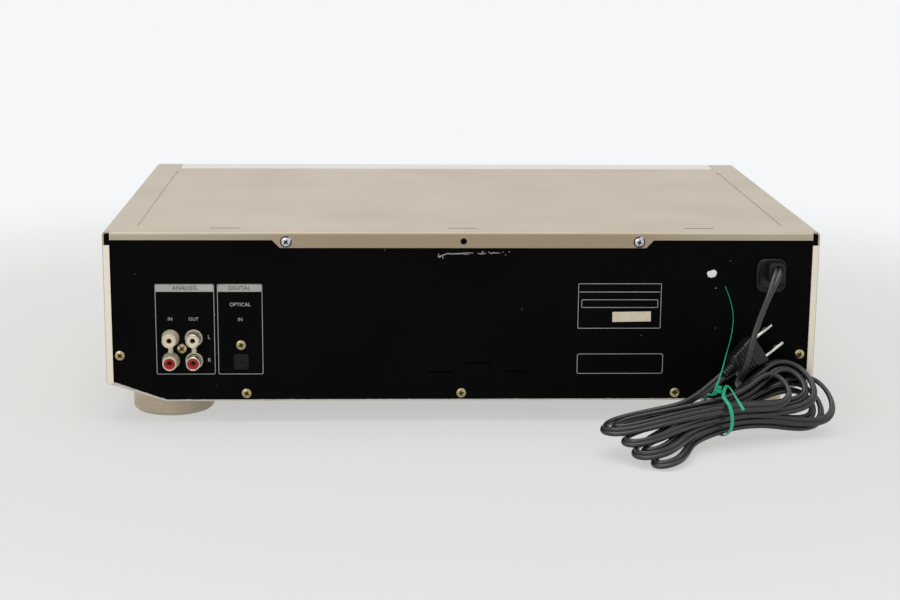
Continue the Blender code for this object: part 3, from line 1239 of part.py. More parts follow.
# Traverse with the turntable's motor, the sled's rod and the feed gear's post
traverse_top = TRAVERSE_Z + TRAVERSE_SHEET
traverse_middle = (TRAY_X, disc[1] - TRAVERSE_FRONT + TRAVERSE_LENGTH / 2)
cd_traverse = slab("cd_traverse", traverse_middle, (TRAVERSE_WIDTH, TRAVERSE_LENGTH), TRAVERSE_Z,
                   traverse_top, GREY_PLASTIC)
pin_reach = TRAVERSE_WIDTH / 2 + PIVOT_LENGTH
for side in (-1, 1):
    join(cd_traverse, rod("pivot pin", (TRAY_X + side * (pin_reach - 2 * PIVOT_LENGTH), pivot[1], pivot[2]),
                          (TRAY_X + side * pin_reach, pivot[1], pivot[2]), PIVOT_RADIUS, sides=16))
rod_x = TRAY_X - ROD_SIDE
rod_z = SLED_Z + SLED_HEIGHT / 2
rod_front = disc[1] + ROD_FRONT
for end_y in (rod_front, rod_front + ROD_LENGTH):
    post = slab("rod post", (rod_x, end_y), (2 * LUG_RADIUS, ROD_POST), TRAVERSE_Z + TRAVERSE_SHEET / 2,
                rod_z + LUG_RADIUS)
    cut(post, barrel("rod seat", (rod_x, rod_z), ROD_RADIUS + GAP, end_y - ROD_POST, end_y + ROD_POST,
                     sides=20))
    join(cd_traverse, post)
feed_y = disc[1] + SLED_START + FEED_RACK_LENGTH / 2
feed_pitch_x = TRAY_X + SLED_WIDTH / 2 + RACK_FRONT
feed_centre = (feed_pitch_x + FEED_MODULE * FEED_TEETH / 2, feed_y)
feed_low = SLED_Z + GAP
join(cd_traverse, pillar("feed post", feed_centre, FEED_POST_RADIUS, TRAVERSE_Z + TRAVERSE_SHEET / 2,
                         feed_low - GAP, sides=20))
join(cd_traverse, pillar("feed pin", feed_centre, FEED_PIN_RADIUS, traverse_top, feed_low + FEED_THICK - GAP,
                         sides=16))
barrel("sled_rod", (rod_x, rod_z), ROD_RADIUS, rod_front - ROD_POST / 2,
       rod_front + ROD_LENGTH + ROD_POST / 2, NICKEL, 20)
plate("feed_gear", [gear(feed_centre, FEED_MODULE, FEED_TEETH, 0, BACKLASH_SHARE),
                    circle(feed_centre, FEED_PIN_RADIUS + GAP, 16)], feed_low, feed_low + FEED_THICK, 'Z',
      WHITE_PLASTIC)

# Pickup sled
sled_middle = (TRAY_X, disc[1] + SLED_START)
sled_top = SLED_Z + SLED_HEIGHT
cd_sled = slab("cd_sled", sled_middle, (SLED_WIDTH, SLED_LENGTH), SLED_Z, sled_top, DARK_PLASTIC)
join(cd_sled, pillar("lens", sled_middle, LENS_RADIUS, sled_top - LENS_HEIGHT, sled_top + LENS_HEIGHT - GAP,
                     sides=24))
lug = barrel("sled lug", (rod_x, rod_z), LUG_RADIUS, sled_middle[1] - LUG_LENGTH / 2,
             sled_middle[1] + LUG_LENGTH / 2,
             sides=20)
join(cd_sled, lug)
feed_rack = rack(feed_pitch_x, feed_pitch_x - RACK_FRONT - FEED_MODULE,
                 sled_middle[1] - SLED_LENGTH / 2 + GAP,
                 FEED_RACK_LENGTH, FEED_MODULE, feed_y + FEED_MODULE * math.pi / 2, BACKLASH_SHARE)
join(cd_sled, plate("feed rack", [feed_rack], feed_low, feed_low + FEED_THICK, 'Z'))
cut(cd_sled, barrel("rod bore", (rod_x, rod_z), ROD_RADIUS + GAP, sled_middle[1] - SLED_LENGTH,
                    sled_middle[1] + SLED_LENGTH,
                    sides=20))

# Turntable, its motor, and the clamp on its bridge
motor_top = traverse_top + GAP + MOTOR_HEIGHT
pillar("spindle_motor", disc, MOTOR_RADIUS, traverse_top + GAP, motor_top, NICKEL, 32)
table_top = TABLE_Z + TABLE_THICK
table_profile = [(0, table_top + CONE_HEIGHT), (CONE_TIP, table_top + CONE_HEIGHT), (CONE_RADIUS, table_top),
                 (TABLE_RADIUS, table_top), (TABLE_RADIUS, TABLE_Z), (SPINDLE_RADIUS, TABLE_Z),
                 (SPINDLE_RADIUS, motor_top + GAP), (0, motor_top + GAP)]
shade(turned("cd_turntable", table_profile, (*disc, 0), DARK_PLASTIC, 32))
bridge_top = BRIDGE_Z + BRIDGE_SHEET
bridge_foot = FRAME_WALL_TOP_Z + GAP
bridge_line = [(TRAY_X + frame_half - FRAME_WALL, bridge_foot), (TRAY_X + frame_half, bridge_foot),
               (TRAY_X + frame_half, bridge_top), (TRAY_X - frame_half, bridge_top),
               (TRAY_X - frame_half, bridge_foot), (TRAY_X - frame_half + FRAME_WALL, bridge_foot)]
clamp_bridge = plate("clamp_bridge", [sheet(bridge_line[1:-1], BRIDGE_SHEET)], disc[1] - BRIDGE_DEPTH / 2,
                     disc[1] + BRIDGE_DEPTH / 2, 'Y', ZINC)
cut(clamp_bridge, pillar("clamp hole", disc, CLAMP_NECK + 2 * FIT, BRIDGE_Z - OVERRUN, bridge_top + OVERRUN,
                         sides=32))
upper = bridge_top + GAP
clamp_profile = [(0, upper + CLAMP_UPPER), (CLAMP_RADIUS, upper + CLAMP_UPPER), (CLAMP_RADIUS, upper),
                 (CLAMP_NECK, upper),
                 (CLAMP_NECK, CLAMP_Z + CLAMP_LOWER), (CLAMP_RADIUS, CLAMP_Z + CLAMP_LOWER),
                 (CLAMP_RADIUS, CLAMP_Z),
                 (CLAMP_HOLLOW, CLAMP_Z), (CLAMP_HOLLOW, CLAMP_Z + CLAMP_HOLLOW_DEPTH),
                 (0, CLAMP_Z + CLAMP_HOLLOW_DEPTH)]
shade(turned("disc_clamp", clamp_profile, (*disc, 0), DARK_PLASTIC, 32))

# Minidisc mechanism
md_front = from_face(MD_FRAME_FRONT)
md_back = md_front + MD_FRAME_LENGTH
md_inner = HOLDER_WIDTH / 2 + HOLDER_SIDE_ROOM
md_outer = md_inner + MD_FRAME_WALL
md_disc = (MD_X, md_front + HOLDER_FRONT + MD_DISC_FRONT)
md_base_top = MD_FRAME_BASE_Z + MD_FRAME_BASE
holder_low = UPPER_Z - HOLDER_HEIGHT / 2
holder_front = md_front + HOLDER_FRONT
md_frame = slab("md_frame", (MD_X, (md_front + md_back) / 2), (2 * md_outer, MD_FRAME_LENGTH),
                MD_FRAME_BASE_Z,
                md_base_top, ZINC)
pin_ys = (holder_front + HOLDER_LENGTH / 6, holder_front + HOLDER_LENGTH * 5 / 6)
for side in (-1, 1):
    inner, outer = sorted((MD_X + side * md_inner, MD_X + side * md_outer))
    wall = block("md wall", (inner, md_front, MD_FRAME_BASE_Z + MD_FRAME_BASE / 2),
                 (outer, md_back, MD_FRAME_TOP_Z))
    for pin_y in pin_ys:
        slot_half = HOLDER_PIN_RADIUS + GAP
        cut(wall, block("pin slot", (inner - OVERRUN, pin_y - slot_half, UPPER_Z - HOLDER_DROP - slot_half),
                        (outer + OVERRUN, pin_y + slot_half, UPPER_Z + slot_half)))
    join(md_frame, wall)
    for leg_y in (md_front + LEG_INSET + LEG_RADIUS, md_back - LEG_INSET):
        join(md_frame, pillar("md leg", (MD_X + side * (md_outer - LEG_INSET), leg_y), LEG_RADIUS,
                              sheet_top + GAP,
                              MD_FRAME_BASE_Z + MD_FRAME_BASE / 2, sides=16))
md_motor_top = md_base_top + MD_MOTOR_HEIGHT
join(md_frame, pillar("md motor", md_disc, MD_MOTOR_RADIUS, md_base_top - MD_FRAME_BASE / 2, md_motor_top,
                      sides=32))

md_holder = block("md_holder", (MD_X - HOLDER_WIDTH / 2, holder_front, holder_low),
                  (MD_X + HOLDER_WIDTH / 2, holder_front + HOLDER_LENGTH, holder_low + HOLDER_HEIGHT), ZINC)
for pin_y in pin_ys:
    for side in (-1, 1):
        join(md_holder, rod("holder pin", (MD_X + side * (HOLDER_WIDTH / 2 - HOLDER_SHEET / 2), pin_y,
                                           UPPER_Z),
                            (MD_X + side * (md_outer + HOLDER_SHEET / 2), pin_y, UPPER_Z), HOLDER_PIN_RADIUS,
                            sides=12))
cut(md_holder, block("holder inside", (MD_X - HOLDER_WIDTH / 2 + HOLDER_SHEET, holder_front - OVERRUN,
                                       holder_low + HOLDER_SHEET),
                     (MD_X + HOLDER_WIDTH / 2 - HOLDER_SHEET, holder_front + HOLDER_LENGTH - HOLDER_SHEET,
                      holder_low + HOLDER_HEIGHT - HOLDER_SHEET)))
cut(md_holder, slab("holder window", (MD_X, md_disc[1] + HOLDER_FRONT),
                    (HOLDER_WINDOW_WIDTH, HOLDER_WINDOW_LENGTH),
                    holder_low - OVERRUN, holder_low + 2 * HOLDER_SHEET))
cut(md_holder, slab("head slot", (MD_X, md_disc[1] + MD_SLED_START), (HEAD_SLOT_WIDTH, HEAD_SLOT_WIDTH * 2),
                    holder_low + HOLDER_HEIGHT - 2 * HOLDER_SHEET, holder_low + HOLDER_HEIGHT + OVERRUN))

flap_top = flap_axis_z
md_flap = block("md_flap", (MD_X - FLAP_WIDTH / 2, flap_y - FLAP_SHEET / 2,
                            flap_top - FLAP_HEIGHT - 2 * FLAP_PIN_RADIUS),
                (MD_X + FLAP_WIDTH / 2, flap_y + FLAP_SHEET / 2, flap_top), DARK_PLASTIC)
flap_reach = FLAP_WIDTH / 2 + GAP + FLAP_EAR
join(md_flap, rod("flap pin", (MD_X - flap_reach, flap_y, flap_axis_z),
                  (MD_X + flap_reach, flap_y, flap_axis_z),
                  FLAP_PIN_RADIUS, sides=12))

md_table_top = MD_TABLE_Z + MD_TABLE_THICK
md_table_profile = [(0, md_table_top), (MD_TABLE_RADIUS, md_table_top), (MD_TABLE_RADIUS, MD_TABLE_Z),
                    (SPINDLE_RADIUS, MD_TABLE_Z), (SPINDLE_RADIUS, md_motor_top + GAP),
                    (0, md_motor_top + GAP)]
shade(turned("md_turntable", md_table_profile, (*md_disc, 0), NICKEL, 32))
md_sled_y = md_disc[1] + MD_SLED_START
md_sled_low = md_base_top + GAP
arm_y = holder_front + HOLDER_LENGTH + MD_ARM_SHEET
md_sled = slab("md_sled", (MD_X, md_sled_y), (MD_SLED_WIDTH, MD_SLED_LENGTH), md_sled_low,
               md_sled_low + MD_SLED_HEIGHT,
               DARK_PLASTIC)
arm_profile = [(md_sled_y - MD_SLED_LENGTH / 3, MD_ARM_Z), (arm_y, MD_ARM_Z),
               (arm_y, md_sled_low + MD_SLED_HEIGHT / 2),
               (md_sled_y, md_sled_low + MD_SLED_HEIGHT / 2)]
join(md_sled, plate("head arm", [sheet(arm_profile, MD_ARM_SHEET)], MD_X - MD_ARM_WIDTH / 2,
                    MD_X + MD_ARM_WIDTH / 2, 'X'))


# Buttons, knobs and phones jack
def add_button(name, spot, size=None, radius=0, finish=PANEL_PLASTIC):
    """A cap in the face, a flange behind it that keeps it in, and a stem to its switch."""
    front = FRONT_Y - BUTTON_PROUD
    flange = face_back + GAP
    if size:
        cap = upright(name, spot, size, front, flange + BUTTON_FLANGE, finish)
        wide = (size[0] + 2 * BUTTON_LIP, size[1] + 2 * BUTTON_LIP)
        join(cap, upright("button flange", spot, wide, flange, flange + BUTTON_FLANGE))
    else:
        cap = barrel(name, spot, radius, front, flange + BUTTON_FLANGE, finish, 32)
        join(cap, barrel("button flange", spot, radius + BUTTON_LIP, flange, flange + BUTTON_FLANGE,
                         sides=32))
    join(cap, upright("stem", spot, (2 * STEM_HALF, 2 * STEM_HALF), flange,
                      flange + BUTTON_FLANGE + STEM_LENGTH))
    return bevel(cap, BUTTON_EDGE / 2)


add_button("power_button", POWER_BUTTON[:2], POWER_BUTTON[2:])
add_button("open_button", OPEN_BUTTON[:2], OPEN_BUTTON[2:])
add_button("eject_button", EJECT_BUTTON[:2], EJECT_BUTTON[2:])
for name, key in zip(("cd_play_button", "cd_stop_button", "md_play_button", "md_stop_button"), keys):
    add_button(name, key, (KEY_WIDTH, KEY_HEIGHT))
add_button("rec_button", RECORD_BUTTON[:2], None, RECORD_BUTTON[2], RED_PLASTIC)


def add_knob(name, spot, radius, finish):
    """A fluted knob with a pointer line and a shaft through the panel."""
    x, z = spot
    steps = 4 * KNOB_FLUTES
    outline = []
    for i in range(steps):
        turn = 2 * math.pi * i / steps
        reach = radius - FLUTE * (0.5 + 0.5 * math.cos(KNOB_FLUTES * turn))
        outline.append((x + reach * math.cos(turn), z + reach * math.sin(turn)))
    knob = plate(name, [outline], FRONT_Y - KNOB_PROUD, FRONT_Y - 2 * GAP, 'Y', finish)
    join(knob, barrel("shaft", spot, SHAFT_RADIUS, FRONT_Y - OVERRUN, FRONT_Y - 2 * GAP + SHAFT_LENGTH,
                      sides=20))
    cut(knob, upright("pointer", (x, z + radius), (POINTER_WIDTH, radius), FRONT_Y - KNOB_PROUD - OVERRUN,
                      FRONT_Y - KNOB_PROUD + POINTER_DEPTH))
    return knob


add_knob("jog_dial", knob_places[0], DIAL_RADIUS, ALUMINIUM)
add_knob("rec_level_knob", knob_places[1], LEVEL_RADIUS, ALUMINIUM)
add_knob("phones_knob", knob_places[2], PHONES_KNOB_RADIUS, ALUMINIUM)
input_switch = upright("input_switch", (SWITCH_X, SWITCH_Z),
                       (SWITCH_KNOB_WIDTH, SWITCH_SLOT_HEIGHT - 2 * GAP),
                       FRONT_Y - SWITCH_PROUD, flange_front + BUTTON_FLANGE, DARK_PLASTIC)
join(input_switch, upright("switch flange", (SWITCH_X, SWITCH_Z), (SWITCH_SLOT_WIDTH + SWITCH_TRAVEL,
                           SWITCH_SLOT_HEIGHT + 2 * BUTTON_LIP), flange_front, flange_front + BUTTON_FLANGE))
phones = (PHONES_X, PHONES_Z)
phones_jack = upright("phones_jack", phones, (2 * PHONES_BODY_HALF, 2 * PHONES_BODY_HALF), flange_front,
                      flange_front + PHONES_BODY_DEPTH, DARK_PLASTIC)
join(phones_jack, barrel("jack barrel", phones, JACK_BARREL_RADIUS, FRONT_Y, flange_front + OVERRUN,
                         sides=32))
cut(phones_jack, barrel("jack bore", phones, JACK_BORE_RADIUS, FRONT_Y - OVERRUN, FRONT_Y + JACK_BORE_DEPTH,
                        sides=32))

# Strain relief in the rear panel
bush_size = (BUSH_WIDTH, BUSH_HEIGHT)
rim_front = panel_face + GAP
bush_outline = rounded(rectangle((BUSH_X, BUSH_Z), *bush_size), BUSH_ROUND)
cord_bush = plate("cord_bush", [bush_outline], rim_front, rim_front + BUSH_RIM, 'Y', DARK_PLASTIC)
neck_inset = 2 * (BUSH_NECK + GAP)
neck_outline = rounded(rectangle((BUSH_X, BUSH_Z), BUSH_WIDTH - neck_inset, BUSH_HEIGHT - neck_inset),
                       BUSH_ROUND - BUSH_NECK - GAP)
join(cord_bush, plate("bush neck", [neck_outline], panel_inside - BUSH_INSIDE, rim_front + BUSH_RIM / 2, 'Y'))
nose_outline = rounded(rectangle((BUSH_X - NOSE_SHIFT, BUSH_Z + NOSE_LIFT), BUSH_NOSE_WIDTH,
                                 BUSH_NOSE_HEIGHT), BUSH_ROUND - BUSH_NECK)
join(cord_bush, plate("bush nose", [nose_outline], rim_front, rim_front + BUSH_RIM + BUSH_NOSE, 'Y'))
cord_start = Vector((CORD_ROUTE[0][0], behind(CORD_ROUTE[0][1]), CORD_ROUTE[0][2]))
cut(cord_bush, rod("cord bore", cord_start - Vector((0, GAP, 0)),
                   cord_start + Vector((0, BUSH_NOSE + 2 * OVERRUN, 0)),
                   CORD_RADIUS + GAP, sides=24))


# Hank of cord: oval turns, each beside the last, in four layers drawn in at the waist
def ease(share):
    share = min(max(share, 0.0), 1.0)
    return share * share * (3 - 2 * share)


def layer_at(turns):
    return sum(ease((turns - LAYER_TURNS * step + CLIMB_TURNS / 2) / CLIMB_TURNS) for step in (1, 2, 3))


def hank_point(turns):
    """A point of the cord's centreline, by how many turns it has been wound."""
    along, across = math.sin(2 * math.pi * turns), math.cos(2 * math.pi * turns)
    shape = min(int(turns / LAYER_TURNS + 1e-9), 3)
    reach, swell, fan = REACH_RIGHT[shape], SWELL_RIGHT[shape], FAN_RIGHT[shape]
    if along > 0:
        reach, swell, fan = REACH_LEFT[shape], SWELL_LEFT[shape], FAN_LEFT[shape]
    inside = turns % (2 * LAYER_TURNS)
    inside = min(inside, 2 * LAYER_TURNS - inside) * TURN_STEP
    half = WAIST_HALF + swell * along * along
    tangent = Vector((reach * across, -along * half + across * 2 * swell * along * across)).normalized()
    x = reach * along + tangent.y * inside
    y = across * half - tangent.x * inside
    turn = math.radians(fan) * ease((abs(x) - FAN_START) / (FAN_END - FAN_START))
    x, y = x * math.cos(turn) - y * math.sin(turn), x * math.sin(turn) + y * math.cos(turn)
    flatness = ease(0.5 + x / LEAN_SPAN)
    lean = math.radians(LEAN_RIGHT + (LEAN_LEFT - LEAN_RIGHT) * flatness)
    axis = Vector((math.cos(HANK_TURN) * math.cos(HANK_TILT), math.sin(HANK_TURN) * math.cos(HANK_TILT),
                   -math.sin(HANK_TILT)))
    flat = Vector((-math.sin(HANK_TURN), math.cos(HANK_TURN), 0))
    side = flat * math.cos(lean) - axis.cross(flat) * math.sin(lean)
    height = (1.5 - layer_at(turns)) * LAYER_STEP
    middle = Vector((HANK_X, behind(HANK_BEHIND), HANK_Z))
    return middle + axis * x - side * y + axis.cross(side) * height


def least_gap(points, diameter):
    """The least room between parts of the tube that are more than four diameters apart along it."""
    finer = []
    for start, end in zip(points, points[1:]):
        finer += [start.lerp(end, share / 4) for share in range(4)]
    run = [0.0]
    for start, end in zip(finer, finer[1:]):
        run.append(run[-1] + (end - start).length)
    least = 1.0
    for i, here in enumerate(finer):
        for j in range(i + 1, len(finer)):
            if run[j] - run[i] > 4 * diameter:
                least = min(least, (finer[j] - here).length)
    return least - diameter, run[-1]


def smooth_route(points, step):
    """Points every step along a smooth curve through the given ones."""
    points = [Vector(point) for point in points]
    padded = [2 * points[0] - points[1]] + points + [2 * points[-1] - points[-2]]
    curve = []
    for before, start, end, after in zip(padded, padded[1:], padded[2:], padded[3:]):
        for i in range(40):
            share = i / 40
            curve.append(0.5 * (2 * start + (end - before) * share
                                + (2 * before - 5 * start + 4 * end - after) * share ** 2
                                + (3 * start - before - 3 * end + after) * share ** 3))
    curve.append(points[-1])
    run = [0.0]
    for start, end in zip(curve, curve[1:]):
        run.append(run[-1] + (end - start).length)
    count = max(2, round(run[-1] / step))
    spaced = []
    i = 0
    for k in range(count + 1):
        goal = run[-1] * k / count
        while i < len(run) - 2 and run[i + 1] < goal:
            i += 1
        spaced.append(curve[i].lerp(curve[i + 1], (goal - run[i]) / (run[i + 1] - run[i])))
    return spaced


def place_behind(points):
    return [Vector((x, behind(y), z)) for x, y, z in points]


hank_points = [hank_point(HANK_TURNS - (HANK_STEPS - i) / LOOP_POINTS) for i in range(HANK_STEPS + 1)]
start_way = (hank_points[1] - hank_points[0]).normalized()
plug_aim = Vector(PLUG_AIM).normalized()
plug_face = Vector((PLUG_FACE[0], behind(PLUG_FACE[1]), PLUG_FACE[2]))
lead_start = plug_face - plug_aim * (PLUG_BODY + PLUG_TAIL + GAP)
lead = smooth_route([lead_start, lead_start - plug_aim * LEAD_STRAIGHT, *place_behind(LEAD_ROUTE),
                     hank_points[0] - start_way * LEAD_STRAIGHT, hank_points[0]], CORD_STEP)
hank_points = lead[:-1] + hank_points
hank_points.append(hank_points[-1] + (hank_points[-1] - hank_points[-2]).normalized() * 2 * CORD_RADIUS)
hank_gap, hank_length = least_gap(hank_points, 2 * CORD_RADIUS)
tube("cord_hank", hank_points, CORD_RADIUS, CORD_PVC, 1)
print("cord_hank: least gap", round(hank_gap / MM, 2), "mm, length", round(hank_length / MM, 1), "mm")
end_way = (hank_points[-1] - hank_points[-2]).normalized()
hank_end = hank_points[-1] + end_way * GAP
cord_points = smooth_route([*place_behind(CORD_ROUTE), hank_end + end_way * 2 * CORD_RADIUS, hank_end],
                           CORD_STEP)
tube("mains_cord", cord_points, CORD_RADIUS, CORD_PVC, 2)
print("mains_cord: points", len(cord_points))


# Plug and its two blades
plug_side = Vector(PLUG_SIDE)
plug_side = (plug_side - plug_aim * plug_aim.dot(plug_side)).normalized()
plug_frame = Matrix((plug_side, plug_aim.cross(plug_side), plug_aim)).transposed().to_4x4()
plug_frame.translation = plug_face


def in_plug(thing):
    """Set a shape made about the origin, with Z along the blades, in the plug's place."""
    bpy.context.view_layer.update()
    thing.matrix_world = plug_frame @ thing.matrix_world
    return thing


body_line = [(-PLUG_WIDTH / 2, 0), (-PLUG_WIDTH / 2 * PLUG_TAPER_SHARE, -PLUG_BODY),
             (PLUG_WIDTH / 2 * PLUG_TAPER_SHARE, -PLUG_BODY), (PLUG_WIDTH / 2, 0)]
mains_plug = plate("mains_plug", [rounded(body_line, PLUG_ROUND)], -PLUG_THICK / 2, PLUG_THICK / 2, 'Y',
                   CORD_PVC)
in_plug(mains_plug)
join(mains_plug, in_plug(rod("plug tail", (0, 0, -PLUG_BODY + OVERRUN), (0, 0, -PLUG_BODY - PLUG_TAIL),
                             PLUG_TAIL_WIDE,
                             sides=16, end_radius=PLUG_TAIL_NARROW)))
for side, name in ((-1, "plug_blade_left"), (1, "plug_blade_right")):
    blade_x = side * BLADE_PITCH / 2
    in_plug(upright(name, (blade_x, (BLADE_LENGTH - BLADE_SEAT) / 2),
                    (BLADE_THICK, BLADE_LENGTH + BLADE_SEAT),
                    -BLADE_WIDTH / 2, BLADE_WIDTH / 2, NICKEL, BLADE_THICK / 6))
    seat_size = (BLADE_THICK + 2 * GAP, BLADE_SEAT + GAP + OVERRUN)
    cut(mains_plug, in_plug(upright("blade seat", (blade_x, (OVERRUN - BLADE_SEAT - GAP) / 2), seat_size,
                                    -BLADE_WIDTH / 2 - GAP, BLADE_WIDTH / 2 + GAP)))

# Twist tie round the waist: short end, ring, long end
hank_axis = Vector((math.cos(HANK_TURN) * math.cos(HANK_TILT), math.sin(HANK_TURN) * math.cos(HANK_TILT),
                    -math.sin(HANK_TILT)))
hank_flat = Vector((-math.sin(HANK_TURN), math.cos(HANK_TURN), 0))
hank_up = hank_axis.cross(hank_flat)
ring_middle = Vector((HANK_X, behind(HANK_BEHIND), HANK_Z)) + hank_flat * TIE_ACROSS + hank_axis * TIE_ALONG
ring = []
for i in range(TIE_STEPS + 1):
    share = i / TIE_STEPS
    turn = math.radians(TIE_KNOT_TURN) - 2 * math.pi * share * TIE_RING_SHARE
    around = hank_flat * math.cos(turn) + hank_up * math.sin(turn)
    ring.append(ring_middle + around * TIE_RING + hank_axis * TIE_SLANT * (share - 0.5))
tie_points = smooth_route(place_behind(TIE_SHORT)[::-1] + ring[::3] + place_behind(TIE_LONG), 2 * TIE_STEP)
tube("twist_tie", tie_points, TIE_RADIUS, TIE_GREEN, 1)
tie_gap, tie_length = least_gap(tie_points, 2 * TIE_RADIUS)
print("twist_tie: least gap", round(tie_gap / MM, 2), "mm, points", len(tie_points))
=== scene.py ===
# Minidisc deck seen from behind, its mains cord tied in a hank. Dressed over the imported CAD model.
# Metres, +Z up, front at -Y, rear panel at +Y, as in the CAD.
import math
import random

import bmesh
import bpy
from mathutils import Matrix, Vector


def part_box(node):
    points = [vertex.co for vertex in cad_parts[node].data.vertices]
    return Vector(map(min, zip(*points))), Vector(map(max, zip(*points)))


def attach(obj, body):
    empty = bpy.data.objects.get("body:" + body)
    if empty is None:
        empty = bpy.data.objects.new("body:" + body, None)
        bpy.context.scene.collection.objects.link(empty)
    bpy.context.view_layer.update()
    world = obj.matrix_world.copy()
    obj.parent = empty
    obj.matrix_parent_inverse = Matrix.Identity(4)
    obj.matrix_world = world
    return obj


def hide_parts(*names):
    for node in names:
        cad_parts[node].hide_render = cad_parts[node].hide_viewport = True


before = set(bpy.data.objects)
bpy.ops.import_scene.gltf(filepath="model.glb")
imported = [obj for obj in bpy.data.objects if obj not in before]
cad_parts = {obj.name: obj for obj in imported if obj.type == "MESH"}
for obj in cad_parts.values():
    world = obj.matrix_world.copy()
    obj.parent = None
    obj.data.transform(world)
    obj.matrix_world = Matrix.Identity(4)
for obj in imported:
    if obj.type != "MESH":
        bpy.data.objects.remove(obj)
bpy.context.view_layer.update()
MM = 0.001


# Camera: a long lens behind the deck and a little above it, the place worked out from the photograph.
# The deck's edges fix it against the known width of 430 mm.
def add_object(name, data):
    """This camera, lamp, mesh or text as an object in the scene."""
    made = bpy.data.objects.new(name, data)
    bpy.context.scene.collection.objects.link(made)
    return made


rear_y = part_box("top_cover")[1].y
CAMERA_X = 50.36 * MM
CAMERA_BEHIND = 1070.57 * MM
CAMERA_Z = 315.49 * MM
CAMERA_YAW = -0.0396
CAMERA_PITCH = 0.2193
CAMERA_ROLL = 0.0081
LENS = 72.99
ahead = Vector((math.sin(CAMERA_YAW) * math.cos(CAMERA_PITCH),
    -math.cos(CAMERA_YAW) * math.cos(CAMERA_PITCH), -math.sin(CAMERA_PITCH)))
level_right = ahead.cross(Vector((0, 0, 1))).normalized()
level_up = level_right.cross(ahead)
right = level_right * math.cos(CAMERA_ROLL) + level_up * math.sin(CAMERA_ROLL)
up = level_up * math.cos(CAMERA_ROLL) - level_right * math.sin(CAMERA_ROLL)
camera = add_object("camera", bpy.data.cameras.new("camera"))
camera.data.lens = LENS
camera.matrix_world = Matrix((right, up, -ahead)).transposed().to_4x4()
camera.location = (CAMERA_X, rear_y + CAMERA_BEHIND, CAMERA_Z)
bpy.context.scene.camera = camera
bpy.context.scene.view_settings.view_transform = 'Standard'


# Studio: a pale floor that fades to a white surround, one broad soft lamp overhead and a weaker one behind
# the camera. Camera, glossy and transmission rays see the white surround and the glow that keeps the shadow
# on the milky floor soft; the lamps and a dimmer fill light the deck.
def linear(colour):
    """An sRGB hex colour as linear light."""
    parts = [int(colour[i:i + 2], 16) / 255 for i in (1, 3, 5)]
    return (*[part / 12.92 if part <= 0.04045 else ((part + 0.055) / 1.055) ** 2.4 for part in parts], 1.0)


def add_node(tree, kind, inputs=(), operation=None, out=0, **settings):
    """A node with its settings. Gives its output of that name or number, or all of them for None.

    A kind without Node in it is a shader node's. Each input, in the node's order or by name, gets a socket
    that feeds it, a list of them, or a constant.
    """
    node = tree.nodes.new(kind if "Node" in kind else 'ShaderNode' + kind)
    if operation:
        node.operation = operation
    for name, value in settings.items():
        setattr(node, name, value)
    for name, value in inputs.items() if isinstance(inputs, dict) else enumerate(inputs):
        for part in value if isinstance(value, list) else [value]:
            if isinstance(part, bpy.types.NodeSocket):
                tree.links.new(part, node.inputs[name])
            else:
                node.inputs[name].default_value = part
    return node.outputs if out is None else node.outputs[out]


def seen_directly(tree):
    """1 for camera, glossy and transmission rays, and 0 for the rays that light the deck."""
    rays = add_node(tree, 'LightPath', out=None)
    share = rays["Is Camera Ray"]
    for name in ("Is Glossy Ray", "Is Transmission Ray"):
        share = add_node(tree, 'Math', (share, rays[name]), 'MAXIMUM')
    return share


FLOOR_HALF = 4.0
FLOOR_COLOUR = '#EAEAE8'
SURROUND_COLOUR = '#F5F7F9'
FLOOR_GLOW = '#DADAD8'
GLOW_SHARE = 0.72
FADE_START = 0.32
FADE_END = 0.8
FILL_STRENGTH = 0.55
floor_mesh = bpy.data.meshes.new("floor")
corners = [(x * FLOOR_HALF, y * FLOOR_HALF, 0) for x, y in ((-1, -1), (1, -1), (1, 1), (-1, 1))]
floor_mesh.from_pydata(corners, [], [(0, 1, 2, 3)])
floor = add_object("floor", floor_mesh)
matt_floor = bpy.data.materials.new("matt pale acrylic sheet")
matt_floor.use_nodes = True
tree = matt_floor.node_tree
tree.nodes.clear()
place = add_node(tree, 'TexCoord', out="Object")
distance = add_node(tree, 'VectorMath', (place,), 'LENGTH', out="Value")
fade = add_node(tree, 'MapRange', (distance, FADE_START, FADE_END), interpolation_type='SMOOTHSTEP')
any_seen = seen_directly(tree)
white_share = add_node(tree, 'Math', (fade, any_seen), 'MULTIPLY')
matt = add_node(tree, 'BsdfDiffuse', (linear(FLOOR_COLOUR),))
glow = add_node(tree, 'Emission', (linear(FLOOR_GLOW), 1.0))
glow_share = add_node(tree, 'Math', (any_seen, GLOW_SHARE), 'MULTIPLY')
lit_floor = add_node(tree, 'MixShader', (glow_share, matt, glow))
white = add_node(tree, 'Emission', (linear(SURROUND_COLOUR), 1.0))
mixed = add_node(tree, 'MixShader', (white_share, lit_floor, white))
add_node(tree, 'OutputMaterial', (mixed,), out=None)
floor_mesh.materials.append(matt_floor)
surround = bpy.data.worlds.new("white surround")
surround.use_nodes = True
tree = surround.node_tree
tree.nodes.clear()
any_seen = seen_directly(tree)
fill = add_node(tree, 'Background', ((1, 1, 1, 1), FILL_STRENGTH))
shown = add_node(tree, 'Background', (linear(SURROUND_COLOUR), 1.0))
mixed = add_node(tree, 'MixShader', (any_seen, fill, shown))
add_node(tree, 'OutputWorld', (mixed,), out=None)
bpy.context.scene.world = surround
